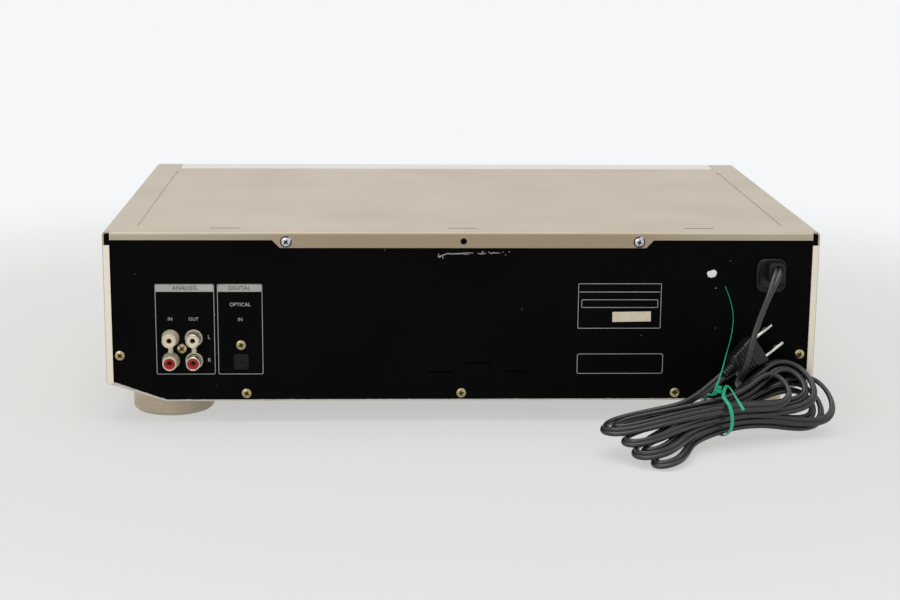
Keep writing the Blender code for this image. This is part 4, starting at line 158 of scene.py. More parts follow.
# Name, where it hangs, what it points at, its size, its power in watts
LAMPS = (
    ("overhead softbox", (0.1, 0.15, 1.5), (0, 0, 0), 1.5, 15),
    ("rear softbox", (0.9, 1.6, 0.9), (0, 0.1, 0.05), 0.9, 5),
)
for name, hung, target, size, power in LAMPS:
    lamp = add_object(name, bpy.data.lights.new(name, 'AREA'))
    lamp.data.shape = 'SQUARE'
    lamp.data.size = size
    lamp.data.energy = power
    lamp.location = hung
    lamp.rotation_euler = (Vector(target) - Vector(hung)).to_track_quat('-Z', 'Y').to_euler()


# Bottom tray and the frames inside: zinc-plated steel, pressed. The zinc shows as soft cloudy flakes.
def surface(name, colour, shade, roughness, grain, depth, blotch=40, metallic=0.0, specular=0.5,
        stretch=(1, 1, 1), coords="Object"):
    """A finish whose colour drifts to its shade over blotch, with a relief of grain and depth, all in mm.

    roughness is (smoothest, roughest). stretch below 1 draws the grain out along that axis. coords is UV for
    what is drawn out along its own length.
    """
    finish = bpy.data.materials.new(name)
    finish.use_nodes = True
    tree = finish.node_tree
    shader = tree.nodes["Principled BSDF"].inputs
    shader["Metallic"].default_value = metallic
    shader["Specular IOR Level"].default_value = specular
    place = add_node(tree, 'TexCoord', out=coords)
    drawn = add_node(tree, 'Mapping', {"Vector": place, "Scale": stretch})
    fine = add_node(tree, 'TexNoise', {"Vector": drawn, "Scale": 1 / (grain * MM), "Detail": 3.0})
    broad = add_node(tree, 'TexNoise', {"Vector": place, "Scale": 1 / (blotch * MM), "Detail": 5.0})
    both = add_node(tree, 'Math', (fine, broad), 'ADD')
    drift = add_node(tree, 'MapRange', (both, 0.75, 1.25))
    made = {"Base Color": add_node(tree, 'Mix', {0: drift, 6: linear(colour), 7: linear(shade)},
                               out=2, data_type='RGBA'),
        "Roughness": add_node(tree, 'MapRange', (broad, 0.3, 0.7, *roughness)),
        "Normal": add_node(tree, 'Bump', {"Height": fine, "Strength": 1.0, "Distance": depth * MM})}
    for socket, source in made.items():
        tree.links.new(source, shader[socket])
    return finish


def places_on(finish):
    """The finish's nodes, the place on the object among them, and that place's three axes."""
    tree = finish.node_tree
    place = add_node(tree, 'TexCoord', out="Object")
    return tree, place, add_node(tree, 'SeparateXYZ', (place,), out=None)


def overlay(finish, mask, colour, roughness):
    """Show another colour and roughness where the mask is 1."""
    tree = finish.node_tree
    shader = tree.nodes["Principled BSDF"].inputs
    tint, gloss = (shader[socket].links[0].from_socket for socket in ("Base Color", "Roughness"))
    mixed = add_node(tree, 'Mix', {0: mask, 6: tint, 7: linear(colour)}, out=2, data_type='RGBA')
    tree.links.new(mixed, shader["Base Color"])
    tree.links.new(add_node(tree, 'Mix', {0: mask, 2: gloss, 3: roughness}), shader["Roughness"])


def dress(finish, *names):
    """Give CAD nodes a finish. Their shapes stay."""
    for name in names:
        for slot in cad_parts[name].material_slots:
            slot.material = finish


zinc = surface("zinc-plated steel, pressed", '#B4B6B6', '#989A9B', (0.28, 0.45), 3, 0.01, metallic=1.0)
dress(zinc, "chassis", "md_frame", "md_holder", "clamp_bridge")

# Feet: turned aluminium, champagne anodised, with the lathe's fine lines running round them.
turned_champagne = surface("anodised aluminium, turned", '#CFC2AC', '#BAAB92', (0.3, 0.42), 0.35, 0.012,
    metallic=0.5, stretch=(0.02, 0.02, 1))
dress(turned_champagne, "foot_front_left", "foot_front_right", "foot_rear_left", "foot_rear_right")

# Circuit boards: brown paper laminate, matt, with the paper's soft unevenness showing through.
laminate = surface("paper laminate circuit board", '#8A6A3C', '#75592F', (0.45, 0.6), 1.2, 0.02)
dress(laminate, "main_board", "power_board", "front_board")

# Power supply: varnished transformer laminations with their thin edges, a bare extruded heat sink drawn out
# lengthwise, and a capacitor in a glossy shrunk sleeve.
core_steel = surface("transformer steel, varnished", '#5A564F', '#3C3A36', (0.35, 0.5), 0.5, 0.04,
    metallic=0.6, stretch=(0.05, 0.05, 1))
dress(core_steel, "power_transformer")
extruded = surface("aluminium, extruded", '#C2C2C0', '#ACACAA', (0.3, 0.45), 0.4, 0.01, metallic=1.0,
    stretch=(1, 1, 0.03))
dress(extruded, "heat_sink")
blue_sleeve = surface("capacitor sleeve, shrunk PVC", '#1D2A4C', '#16203A', (0.25, 0.35), 2, 0.01)
dress(blue_sleeve, "filter_capacitor")

# Disc drives: injection moulded black and grey ABS with a spark-eroded texture, which takes the shine off,
# smooth white acetal gears, and bright nickel on what turns or slides.
black_abs = surface("ABS, black moulded", '#1E1E1F', '#161617', (0.42, 0.55), 0.35, 0.02)
grey_abs = surface("ABS, grey moulded", '#58595B', '#4A4B4D', (0.45, 0.58), 0.35, 0.02)
white_acetal = surface("acetal, white moulded", '#E4E2D8', '#D6D3C6', (0.35, 0.45), 0.8, 0.008)
nickel = surface("nickel plate, bright", '#D2CFC8', '#BDBAB2', (0.14, 0.26), 0.6, 0.004, metallic=1.0)
dress(black_abs, "cd_tray", "cd_frame", "cd_sled", "cd_turntable", "disc_clamp", "md_sled", "md_flap")
dress(grey_abs, "cd_traverse")
dress(white_acetal, "loading_gear", "feed_gear")
dress(nickel, "sled_rod", "spindle_motor", "md_turntable")

# Front panel: champagne moulding lacquered to match the cover, with its tray front and keys. Its knobs are
# spun aluminium, whose fine turning marks give a soft metal sheen.
lacquered_abs = surface("ABS, champagne lacquered", '#CDC1AE', '#C5B9A5', (0.3, 0.42), 0.5, 0.012,
    metallic=0.4)
# The ledge along its top edge is painted a paler, greyer tone, a painted highlight of the light it catches.
LEDGE_Z = 117.2 * MM
tree, place, axes = places_on(lacquered_abs)
ledge_highlight = add_node(tree, 'Math', (axes["Z"], LEDGE_Z), 'GREATER_THAN')
overlay(lacquered_abs, ledge_highlight, '#D5CFC8', 0.38)
dress(lacquered_abs, "front_panel", "tray_front", "power_button", "open_button", "eject_button",
    "cd_play_button", "cd_stop_button", "md_play_button", "md_stop_button")
red_abs = surface("ABS, red moulded", '#A32028', '#8E1A22', (0.3, 0.4), 0.5, 0.01)
dress(red_abs, "rec_button")
spun_aluminium = surface("aluminium, spun and anodised", '#CABDA4', '#B8AA90', (0.25, 0.38), 0.3, 0.01,
    metallic=0.9)
dress(spun_aluminium, "jog_dial", "rec_level_knob", "phones_knob")
dress(black_abs, "input_switch", "phones_jack")

# Display: smoked acrylic before a fluorescent tube whose glass is dark when the set is off. Both are polished
# and so nearly mirror-smooth.
smoked_acrylic = surface("acrylic, smoked", '#0B0B0D', '#0D0D10', (0.06, 0.12), 30, 0.001)
tube_glass = surface("fluorescent tube, unlit", '#2C3A38', '#1F2A2A', (0.08, 0.15), 3, 0.001)
dress(smoked_acrylic, "display_window")
dress(tube_glass, "display_tube")

# Rear panel: thin steel painted satin black, with a few specks of dust. Its cut edge is left light where the
# paint has chipped along the bottom.
PANEL_FLAT_HALF = 179.6 * MM
PANEL_HALF = 213.4 * MM
PANEL_LOW_Z = 14.6 * MM
CORNER_RISE = 11.9 * MM
CHAMFER_BAND = 0.1 * MM
BOTTOM_BAND = -0.1 * MM
CHIP = 3.5 * MM
CHIP_DEPTHS = (-0.15 * MM, 0.35 * MM)
DUST_PITCH = 15 * MM
DUST_SHARE = 0.02
satin_black = surface("steel, satin black paint", '#08080A', '#050506', (0.42, 0.58), 0.3, 0.012, blotch=60,
    specular=0.03)
tree, place, axes = places_on(satin_black)
across = add_node(tree, 'Math', (axes["X"],), 'ABSOLUTE')
chamfer_turn = math.atan2(CORNER_RISE, PANEL_HALF - PANEL_FLAT_HALF)
above = add_node(tree, 'Math', (axes["Z"], PANEL_LOW_Z), 'SUBTRACT')
beyond = add_node(tree, 'Math', (across, PANEL_FLAT_HALF), 'SUBTRACT')
above_part = add_node(tree, 'Math', (above, math.cos(chamfer_turn)), 'MULTIPLY')
from_chamfer = add_node(tree, 'Math', (beyond, -math.sin(chamfer_turn), above_part), 'MULTIPLY_ADD')
chips = add_node(tree, 'TexNoise', {"Vector": place, "Scale": 1 / CHIP, "Detail": 4.0})
ragged = add_node(tree, 'MapRange', (chips, 0.35, 0.7, *CHIP_DEPTHS))
for distance, band in ((from_chamfer, CHAMFER_BAND), (above, BOTTOM_BAND)):
    edge = add_node(tree, 'Math', (ragged, band), 'ADD')
    bare = add_node(tree, 'Math', (distance, edge), 'LESS_THAN')
    overlay(satin_black, bare, '#B9B4A8', 0.4)
grit = add_node(tree, 'TexVoronoi', {"Vector": place, "Scale": 1 / DUST_PITCH}, out="Distance")
near = add_node(tree, 'Math', (grit, DUST_SHARE), 'LESS_THAN')
overlay(satin_black, near, '#6A6A68', 0.7)
dress(satin_black, "rear_panel")


# Phono jacks: two pairs moulded in one ivory block that stands behind the panel. The inputs have plastic
# shells, the outputs plated sleeves, and each has a coloured insert with a sprung gold contact in its hole.
def as_mesh(shape):
    """The shape as a mesh, its faces turned outwards."""
    bmesh.ops.recalc_face_normals(shape, faces=shape.faces)
    mesh = bpy.data.meshes.new("made")
    shape.to_mesh(mesh)
    shape.free()
    return mesh


def lofted(rows, placed, steps=6, ring=False):
    """A shape through rounded rectangles: half width, half height, corner, place along, and any shift.

    Where the corner is as large as the halves the row is round. placed takes (wide, high, along) to the deck.
    """
    shape = bmesh.new()
    loops = []
    for half_wide, half_high, corner, along, *shift in rows:
        shift_wide, shift_high = shift or (0, 0)
        loop = []
        for quarter, (side_wide, side_high) in enumerate(((1, 1), (-1, 1), (-1, -1), (1, -1))):
            for i in range(steps):
                angle = (quarter + (i + 0.5) / steps) * math.pi / 2
                wide = shift_wide + side_wide * (half_wide - corner) + corner * math.cos(angle)
                high = shift_high + side_high * (half_high - corner) + corner * math.sin(angle)
                loop.append(shape.verts.new(placed @ Vector((wide, high, along))))
        loops.append(loop)
    following = loops[1:] + loops[:1] if ring else loops[1:]
    for loop, after in zip(loops, following):
        for i in range(len(loop)):
            shape.faces.new((loop[i - 1], loop[i], after[i], after[i - 1]))
    if not ring:
        shape.faces.new(loops[0])
        shape.faces.new(loops[-1])
    return as_mesh(shape)


def turned(rows, placed, **how):
    """A shape turned on a lathe, through (radius, place along)."""
    return lofted([(radius, radius, radius, along) for radius, along in rows], placed, **how)


def add_piece(name, mesh, finish, body="deck", crease=35):
    """A mesh as a piece that rides a body, smooth but for edges sharper than the crease in degrees."""
    mesh.name = name
    piece = add_object(name, mesh)
    mesh.materials.clear()
    mesh.materials.append(finish)
    mesh.shade_smooth()
    mesh.set_sharp_from_angle(angle=math.radians(crease))
    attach(piece, body)
    return piece


panel_face = rear_y - 1.3 * MM


def on_panel(x, z):
    """Takes (wide, high, along) to the rear: wide along X, high along Z, along out of the panel."""
    return Matrix(((1, 0, 0, x), (0, 0, 1, panel_face), (0, 1, 0, z), (0, 0, 0, 1)))


def middle_of(name):
    """A node's middle, across and up, and its height."""
    low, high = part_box(name)
    return (low.x + high.x) / 2, (low.z + high.z) / 2, high.z - low.z


ivory = surface("ABS, ivory moulded", '#DDD5BD', '#CFC5AA', (0.3, 0.42), 0.4, 0.012, blotch=8)
jack_ivory = surface("ABS, white moulded", '#EEE7D2', '#E2D8BE', (0.25, 0.36), 0.4, 0.01, blotch=6)
jack_red = surface("ABS, red moulded insert", '#B8222C', '#A01A26', (0.25, 0.36), 0.4, 0.01, blotch=6)
gold = surface("gold flash on brass", '#8E6A2C', '#6E5020', (0.25, 0.4), 0.4, 0.005, metallic=1.0)
dress(ivory, "jack_block")
SLEEVE = 4.2 * MM
SHELL_FLARE = 4.95 * MM
COLLAR = 1.2 * MM
INSERT = 3.45 * MM
HOLE = 1.6 * MM
HOLE_DEEP = 9 * MM
CONTACT = 1.35 * MM
CONTACT_DEEP = 8 * MM
CONTACT_BACK = 8.5 * MM
CONTACT_EDGE = 1.6 * MM
CONTACT_LIP = 1.4 * MM
GROOVE = 2.5 * MM
LIP = 0.3 * MM
JACK_FIT = 0.02 * MM
bore = INSERT + JACK_FIT
for jack, colour, plated in (("jack_in_left", jack_ivory, False), ("jack_in_right", jack_red, False),
        ("jack_out_left", jack_ivory, True), ("jack_out_right", jack_red, True)):
    low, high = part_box(jack)
    placed = on_panel(*middle_of(jack)[:2])
    seat, end = low.y - panel_face, high.y - panel_face
    sleeve_rows = [(bore, seat), (bore, end - LIP / 2), (bore + LIP / 2, end), (SLEEVE - LIP, end),
        (SLEEVE, end - LIP)]
    if not plated:
        sleeve_rows += [(SHELL_FLARE, COLLAR + LIP), (SHELL_FLARE - LIP / 2, COLLAR), (SLEEVE, COLLAR)]
    sleeve_rows += [(SLEEVE, seat)]
    sleeve = add_piece(jack + "_sleeve", turned(sleeve_rows, placed, steps=10, ring=True),
        nickel if plated else ivory)
    insert_rows = [(HOLE, end - HOLE_DEEP), (HOLE, end - 3 * LIP), (HOLE + LIP, end - 1.5 * LIP),
        (GROOVE - LIP / 2, end - 1.2 * LIP), (GROOVE, end - 2 * LIP),
        (GROOVE + LIP / 2, end - 1.2 * LIP), (INSERT - 2 * LIP, end - LIP),
        (INSERT, end - 2 * LIP), (INSERT, seat)]
    add_piece(jack + "_insert", turned(insert_rows, placed, steps=10), colour)
    contact_rows = [(CONTACT - LIP, end - CONTACT_DEEP), (CONTACT - LIP, end - CONTACT_EDGE),
        (CONTACT, end - CONTACT_LIP), (CONTACT + LIP / 2, end - CONTACT_EDGE),
        (CONTACT + LIP / 2, end - CONTACT_BACK)]
    add_piece(jack + "_contact", turned(contact_rows, placed), gold)
    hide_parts(jack)

# Optical input: a square socket closed by a soft dust plug, grey and without shine, with a step and a pull
# dimple.
soft_grey = surface("elastomer, dark grey moulded", '#1C1C1E', '#161618', (0.45, 0.58), 0.3, 0.015,
    specular=0.15)
dress(soft_grey, "optical_socket")
low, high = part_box("optical_plug")
half_wide, half_high = (high.x - low.x) / 2, (high.z - low.z) / 2
PLUG_STEP = 0.6 * MM
PLUG_PANEL = 3.3 * MM
PLUG_DIMPLE = 1.1 * MM
top = high.y - panel_face
rows = [(half_wide - inset, half_high - inset, PLUG_STEP, along) for inset, along in (
    (PLUG_STEP, low.y - panel_face), (0, -PLUG_STEP), (0, top - PLUG_STEP / 3), (PLUG_STEP / 3, top),
    (1.5 * PLUG_STEP, top), (1.7 * PLUG_STEP, top - PLUG_STEP))]
rows += [(PLUG_PANEL - PLUG_STEP, PLUG_PANEL - PLUG_STEP, PLUG_STEP, top - PLUG_STEP),
    (PLUG_DIMPLE, PLUG_DIMPLE, PLUG_DIMPLE, top - PLUG_STEP, 0, -PLUG_STEP),
    (PLUG_DIMPLE / 2, PLUG_DIMPLE / 2, PLUG_DIMPLE / 2, top - 2 * PLUG_STEP, 0, -PLUG_STEP)]
placed = on_panel(*middle_of("optical_plug")[:2])
dust_plug = add_piece("optical_dust_plug", lofted(rows, placed), soft_grey)
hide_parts("optical_plug")


# Strain relief: soft black PVC pressed into the panel, with a slight sheen. A grooved rim outside, a tapered
# sleeve that grips the flex inside, and a nose with an oval mouth.
def in_metres(rows):
    return [[value * MM for value in row] for row in rows]


BUSH = (-186 * MM, 91.8 * MM)
CORD_MOUTH = (-188.4 * MM, 96.8 * MM)
NOSE_SHIFT = (-2.0, 2.7)
soft_pvc = surface("soft PVC, black moulded", '#1A191A', '#141314', (0.24, 0.36), 0.35, 0.012, blotch=12,
    specular=0.3)
low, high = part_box("cord_bush")
nose_end = (high.y - panel_face) / MM
rim_rows = [(5.2, 6.6, 3.0, -12.6), (5.9, 7.3, 3.2, -12.2), (7.1, 8.35, 3.6, -1.3), (7.1, 8.35, 3.6, 0.3),
    (8.6, 9.85, 4.8, 0.3), (8.9, 10.15, 5.0, 0.6), (8.9, 10.15, 5.0, 2.35), (8.6, 9.85, 4.8, 2.7),
    (7.9, 9.15, 4.2, 2.7), (7.7, 8.95, 4.0, 1.9), (7.2, 8.45, 3.7, 1.9), (7.0, 8.25, 3.5, 2.6),
    (6.6, 7.85, 3.3, 2.6), (6.3, 7.55, 3.1, 1.2)]
bush = add_piece("strain_relief_rim", lofted(in_metres(rim_rows), on_panel(*BUSH)), soft_pvc)
mouth_shift = [(CORD_MOUTH[i] - BUSH[i]) / MM for i in (0, 1)]
nose_rows = [(5.5, 7.0, 3.4, 1.0, *NOSE_SHIFT), (5.4, 6.9, 3.4, 3.5, *NOSE_SHIFT),
    (5.0, 6.5, 3.2, 7.4, *NOSE_SHIFT), (4.6, 6.1, 3.0, nose_end - 0.2, *NOSE_SHIFT),
    (4.3, 5.8, 2.8, nose_end, *NOSE_SHIFT), (3.3, 2.1, 1.9, nose_end, *mouth_shift),
    (3.1, 1.9, 1.7, nose_end - 0.4, *mouth_shift), (3.0, 1.8, 1.7, 2.0, *mouth_shift)]
add_piece("strain_relief_nose", lofted(in_metres(nose_rows), on_panel(*BUSH)), soft_pvc)
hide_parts("cord_bush")


# Mains cord: flat twin flex, two cores side by side in soft black PVC, 5.5 mm wide, with a long soft shine.
# It leaves the strain relief flat, turns part of the way on to its edge as it drops behind the deck, and goes
# into a hank of almost six turns.
def behind(points):
    """Points given in millimetres from the cover's rear edge, as places."""
    return [Vector((x * MM, rear_y + y * MM, z * MM)) for x, y, z in points]


def ease(share):
    share = min(max(share, 0.0), 1.0)
    return share * share * (3 - 2 * share)


CORD_ROUTE = behind([
    (-188.4, 2.0, 96.8), (-188.2, 9.5, 96.9), (-186.6, 14.5, 94.6), (-182.8, 19.0, 88.0),
    (-178.6, 23.5, 79.5), (-173.8, 27.5, 69.5), (-170.6, 30.5, 61.0), (-168.9, 31.8, 53.5),
    (-167.7, 30.7, 46.4), (-166.4, 30.6, 39.7), (-163.3, 26.2, 33.5), (-164.6, 20.6, 28.7),
    (-171.6, 17.4, 24.7)])
HANK_MIDDLE = behind([(-150, 45, 18.6)])[0]
HANK_TURN = math.radians(24)
HANK_TILT = math.radians(7.5)
HANK_TURNS = 5.9
HANK_STEPS = 140
LAYER_TURNS = 1.5
CLIMB_TURNS = 0.16
LAYER_STEP = 4.9 * MM
TURN_STEP = 5.12 * MM
WAIST_HALF = 8.6 * MM
LOOP_POINTS = 24
# Each layer's reach from the waist and its swell, in millimetres, and how far it fans out, in degrees
LEFT_LOOPS = ((78, 19, 4), (76, 18, -7), (74, 17, -16), (74, 15, -24))
RIGHT_LOOPS = ((50, 26, -7), (68, 34, -5), (80, 40, 5), (72, 32, 6))
LEAN_LEFT = 0
LEAN_RIGHT = 40
FAN_START = 9 * MM
FAN_END = 59 * MM
LEAN_SPAN = 90 * MM
hank_axis = Vector((math.cos(HANK_TURN) * math.cos(HANK_TILT), math.sin(HANK_TURN) * math.cos(HANK_TILT),
    -math.sin(HANK_TILT)))
hank_flat = Vector((-math.sin(HANK_TURN), math.cos(HANK_TURN), 0))


def hank_point(turns):
    """A point of the flex's middle line by how many turns it has been wound, and the way its layer faces."""
    along, across = math.sin(2 * math.pi * turns), math.cos(2 * math.pi * turns)
    reach, swell, fan = (LEFT_LOOPS if along > 0 else RIGHT_LOOPS)[min(int(turns / LAYER_TURNS + 1e-9), 3)]
    reach, swell = reach * MM, swell * MM
    inside = turns % (2 * LAYER_TURNS)
    inside = min(inside, 2 * LAYER_TURNS - inside) * TURN_STEP
    half = WAIST_HALF + swell * along * along
    tangent = Vector((reach * across, -along * half + across * 2 * swell * along * across)).normalized()
    x = reach * along + tangent.y * inside
    y = across * half - tangent.x * inside
    turn = math.radians(fan) * ease((abs(x) - FAN_START) / (FAN_END - FAN_START))
    x, y = x * math.cos(turn) - y * math.sin(turn), x * math.sin(turn) + y * math.cos(turn)
    lean = math.radians(LEAN_RIGHT + (LEAN_LEFT - LEAN_RIGHT) * ease(0.5 + x / LEAN_SPAN))
    side = hank_flat * math.cos(lean) - hank_axis.cross(hank_flat) * math.sin(lean)
    layers = sum(ease((turns - LAYER_TURNS * step + CLIMB_TURNS / 2) / CLIMB_TURNS) for step in (1, 2, 3))
    facing = hank_axis.cross(side)
    return HANK_MIDDLE + hank_axis * x - side * y + facing * (1.5 - layers) * LAYER_STEP, facing


CURVE_STEPS = 40


def smooth_route(points, step):
    """Points every step along a smooth curve through the given ones."""
    padded = [2 * points[0] - points[1]] + points + [2 * points[-1] - points[-2]]
    curve = []
    for before, start, end, after in zip(padded, padded[1:], padded[2:], padded[3:]):
        for i in range(CURVE_STEPS):
            share = i / CURVE_STEPS
            curve.append(0.5 * (2 * start + (end - before) * share
                + (2 * before - 5 * start + 4 * end - after) * share ** 2
                + (3 * start - before - 3 * end + after) * share ** 3))
    curve.append(points[-1])
    run = [0.0]
    for start, end in zip(curve, curve[1:]):
        run.append(run[-1] + (end - start).length)
    count = max(2, round(run[-1] / step))
    spaced = []
    i = 0
    for k in range(count + 1):
        goal = run[-1] * k / count
        while i < len(run) - 2 and run[i + 1] < goal:
            i += 1
        spaced.append(curve[i].lerp(curve[i + 1], (goal - run[i]) / (run[i + 1] - run[i])))
    return spaced


LIE_SEARCH = 60


def swept(line, outline, lie, swell=lambda share: 1.0):
    """A closed shape whose outline (wide, thin) follows a line, with a UV map in metres along and round it.

    lie has (point, wide way) pairs in the line's order. Between them the outline turns by the shorter way.
    """
    ways = [(line[min(i + 1, len(line) - 1)] - line[max(i - 1, 0)]).normalized() for i in range(len(line))]
    sides = [ways[0].orthogonal().normalized()]
    for before, way in zip(ways, ways[1:]):
        sides.append((before.rotation_difference(way) @ sides[-1]).normalized())
    knots = []
    at = 0
    for point, wide in lie:
        at = min(range(at, min(at + LIE_SEARCH, len(line))), key=lambda i: (line[i] - point).length)
        angle = math.atan2(wide.dot(ways[at].cross(sides[at])), wide.dot(sides[at]))
        if knots:
            angle += math.pi * round((knots[-1][1] - angle) / math.pi)
        knots.append((at, angle))
    knots = [(-1, knots[0][1])] + knots + [(len(line), knots[-1][1])]
    shape = bmesh.new()
    rings = []
    k = 0
    for i, point in enumerate(line):
        while knots[k + 1][0] < i:
            k += 1
        (start, first), (end, last) = knots[k], knots[k + 1]
        angle = first + (last - first) * ease((i - start) / max(end - start, 1))
        wide = sides[i] * math.cos(angle) + ways[i].cross(sides[i]) * math.sin(angle)
        thin = ways[i].cross(wide)
        size = swell(i / (len(line) - 1))
        rings.append([shape.verts.new(point + (wide * across + thin * up) * size) for across, up in outline])
    around = [0.0]
    for i in range(len(outline)):
        around.append(around[-1] + math.dist(outline[i], outline[(i + 1) % len(outline)]))
    layer = shape.loops.layers.uv.new("run")
    run = 0.0
    for i in range(len(rings) - 1):
        further = run + (line[i + 1] - line[i]).length
        for j in range(len(outline)):
            next_j = (j + 1) % len(outline)
            face = shape.faces.new((rings[i][j], rings[i][next_j], rings[i + 1][next_j], rings[i + 1][j]))
            corners = ((run, around[j]), (run, around[j + 1]), (further, around[j + 1]), (further, around[j]))
            for loop, corner in zip(face.loops, corners):
                loop[layer].uv = corner
        run = further
    shape.faces.new(rings[0][::-1])
    shape.faces.new(rings[-1])
    return as_mesh(shape)


PLUG_FACE = behind([(-176.6, 11.6, 48.9)])[0]
PLUG_BODY = 20 * MM
PLUG_TAIL = 9 * MM
plug_aim = Vector((-0.7653, -0.4629, 0.4472)).normalized()
plug_side = Vector((0.5513, -0.1129, 0.8266))
plug_side = (plug_side - plug_aim * plug_aim.dot(plug_side)).normalized()
LEAD_STRAIGHT = 5 * MM
LEAD_ROUTE = behind([(-140.9, 35.4, 28.7), (-127.8, 45.0, 24.1)])
WAY_OUT = 8.7
EDGE_LEAN = 43
EDGE_SWAY = 10
SWAY_RATE = 2.3
FREE_TWIST = math.radians(58)
FLEX_RELAX = 14
FLEX_HELD = 4
hank = [(turns, *hank_point(turns))
    for turns in (HANK_TURNS - (HANK_STEPS - i) / LOOP_POINTS for i in range(HANK_STEPS + 1))]
way_in = (hank[1][1] - hank[0][1]).normalized()
way_out = (hank[-1][1] - hank[-2][1]).normalized()
lead_start = PLUG_FACE - plug_aim * (PLUG_BODY + PLUG_TAIL)
route = CORD_ROUTE + [hank[-1][1] + way_out * WAY_OUT * MM] + [point for turns, point, facing in hank[::-1]]
route += [hank[0][1] - way_in * LEAD_STRAIGHT, *LEAD_ROUTE[::-1], lead_start - plug_aim * LEAD_STRAIGHT,
    lead_start + plug_aim * LEAD_STRAIGHT]
flex_line = smooth_route(route, 2 * MM)
for i in range(FLEX_RELAX):
    middle = [(before + 2 * point + after) / 4
        for before, point, after in zip(flex_line, flex_line[1:], flex_line[2:])]
    flex_line = flex_line[:FLEX_HELD] + middle[FLEX_HELD - 1:1 - FLEX_HELD] + flex_line[-FLEX_HELD:]
lie = [(point, Vector((1, 0, 0))) for point in CORD_ROUTE[:2]]
lie += [(point, Vector((math.cos(FREE_TWIST), math.sin(FREE_TWIST), 0))) for point in CORD_ROUTE[4:8]]
for i in range(HANK_STEPS, -1, -1):
    turns, point, facing = hank[i]
    before, after = hank[max(i - 1, 0)][1], hank[min(i + 1, HANK_STEPS)][1]
    level = facing.cross(after - before).normalized()
    edge = math.radians(EDGE_LEAN + EDGE_SWAY * math.sin(SWAY_RATE * turns))
    lie.append((point, level * math.cos(edge) + facing * math.sin(edge)))
lie.append((lead_start, plug_side))
STRAND = 1.42 * MM
STRAND_APART = 1.33 * MM
WEB_HALF = 0.62 * MM
LOBE_SWEEP = 150
lobe = [math.radians(LOBE_SWEEP * (i / 4 - 1)) for i in range(9)]
flex_outline = [(STRAND_APART + STRAND * math.cos(angle), STRAND * math.sin(angle)) for angle in lobe]
flex_outline += [(0, WEB_HALF)] + [(-wide, -thin) for wide, thin in flex_outline] + [(0, -WEB_HALF)]
flex_pvc = surface("soft PVC, black extruded", '#302E2E', '#242223', (0.2, 0.3), 0.5, 0.012, blotch=15,
    coords="UV", stretch=(0.04, 1, 1))
flex = add_piece("mains_flex", swept(flex_line, flex_outline, lie), flex_pvc, crease=70)
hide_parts("mains_cord", "cord_hank")

# Mains plug: two flat nickelled blades moulded into soft black PVC, with a ribbed grip and a ringed tail that
# takes the flex.
plug_place = Matrix((plug_side, plug_aim.cross(plug_side), plug_aim)).transposed().to_4x4()
plug_place.translation = PLUG_FACE
RINGS = 4
RING_PITCH = 1.9
GRIPS = 4
GRIP_PITCH = 2.2
tail_rows = [(2.9, -29.0)]
for i in range(RINGS):
    radius = 3.1 + 0.22 * i
    start = -28.6 + RING_PITCH * i
    tail_rows += [(radius, start), (radius, start + 1.1), (radius - 0.55, start + 1.25),
        (radius - 0.5, start + 1.75)]
body_rows = [(4.2, 4.0, 3.9, -20.6), (5.6, 4.7, 3.2, -20.1), (6.5, 5.6, 2.8, -19.4), (6.9, 6.0, 2.6, -18.4)]
for i in range(GRIPS):
    start = -17.2 + GRIP_PITCH * i
    half = 6.95 + 0.3 * i
    body_rows += [(half, 6.15, 2.6, start), (half - 0.35, 5.6, 2.5, start + 0.35),
        (half - 0.3, 5.6, 2.5, start + 1.05), (half + 0.1, 6.15, 2.6, start + 1.4)]
body_rows += [(8.5, 6.2, 2.5, -7.2), (9.3, 6.25, 2.4, -2.4), (9.5, 6.25, 2.4, -0.9), (9.3, 6.05, 2.3, -0.25),
    (8.9, 5.65, 2.0, 0.0)]
rows = in_metres([(radius, radius, radius, along) for radius, along in tail_rows] + body_rows)
plug = add_piece("mains_plug_body", lofted(rows, plug_place, steps=7), soft_pvc)
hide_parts("mains_plug")
BLADE_APART = 6.35 * MM
BLADE_REACH = 6.5 * MM
BLADE_HALF = 0.75 * MM
BLADE_EASE = 0.25 * MM
blade_rows = []
for outline, along in (((10.3, 2.95, 1.1), -BLADE_HALF), ((10.5, 3.15, 1.2), BLADE_EASE - BLADE_HALF),
        ((10.5, 3.15, 1.2), BLADE_HALF - BLADE_EASE), ((10.3, 2.95, 1.1), BLADE_HALF)):
    blade_rows.append((*in_metres([outline])[0], along))
pin_hole = (1.6 * MM, 1.6 * MM, 1.6 * MM)
blade_rows += [(*pin_hole, along, 5.4 * MM, 0) for along in (BLADE_HALF, -BLADE_HALF)]
for side, node in ((-1, "plug_blade_left"), (1, "plug_blade_right")):
    blade_place = plug_place @ Matrix(((0, 0, 1, side * BLADE_APART), (0, 1, 0, 0), (1, 0, 0, BLADE_REACH),
        (0, 0, 0, 1)))
    blade = add_piece(node + "_pressed", lofted(blade_rows, blade_place, ring=True), nickel)
    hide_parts(node)

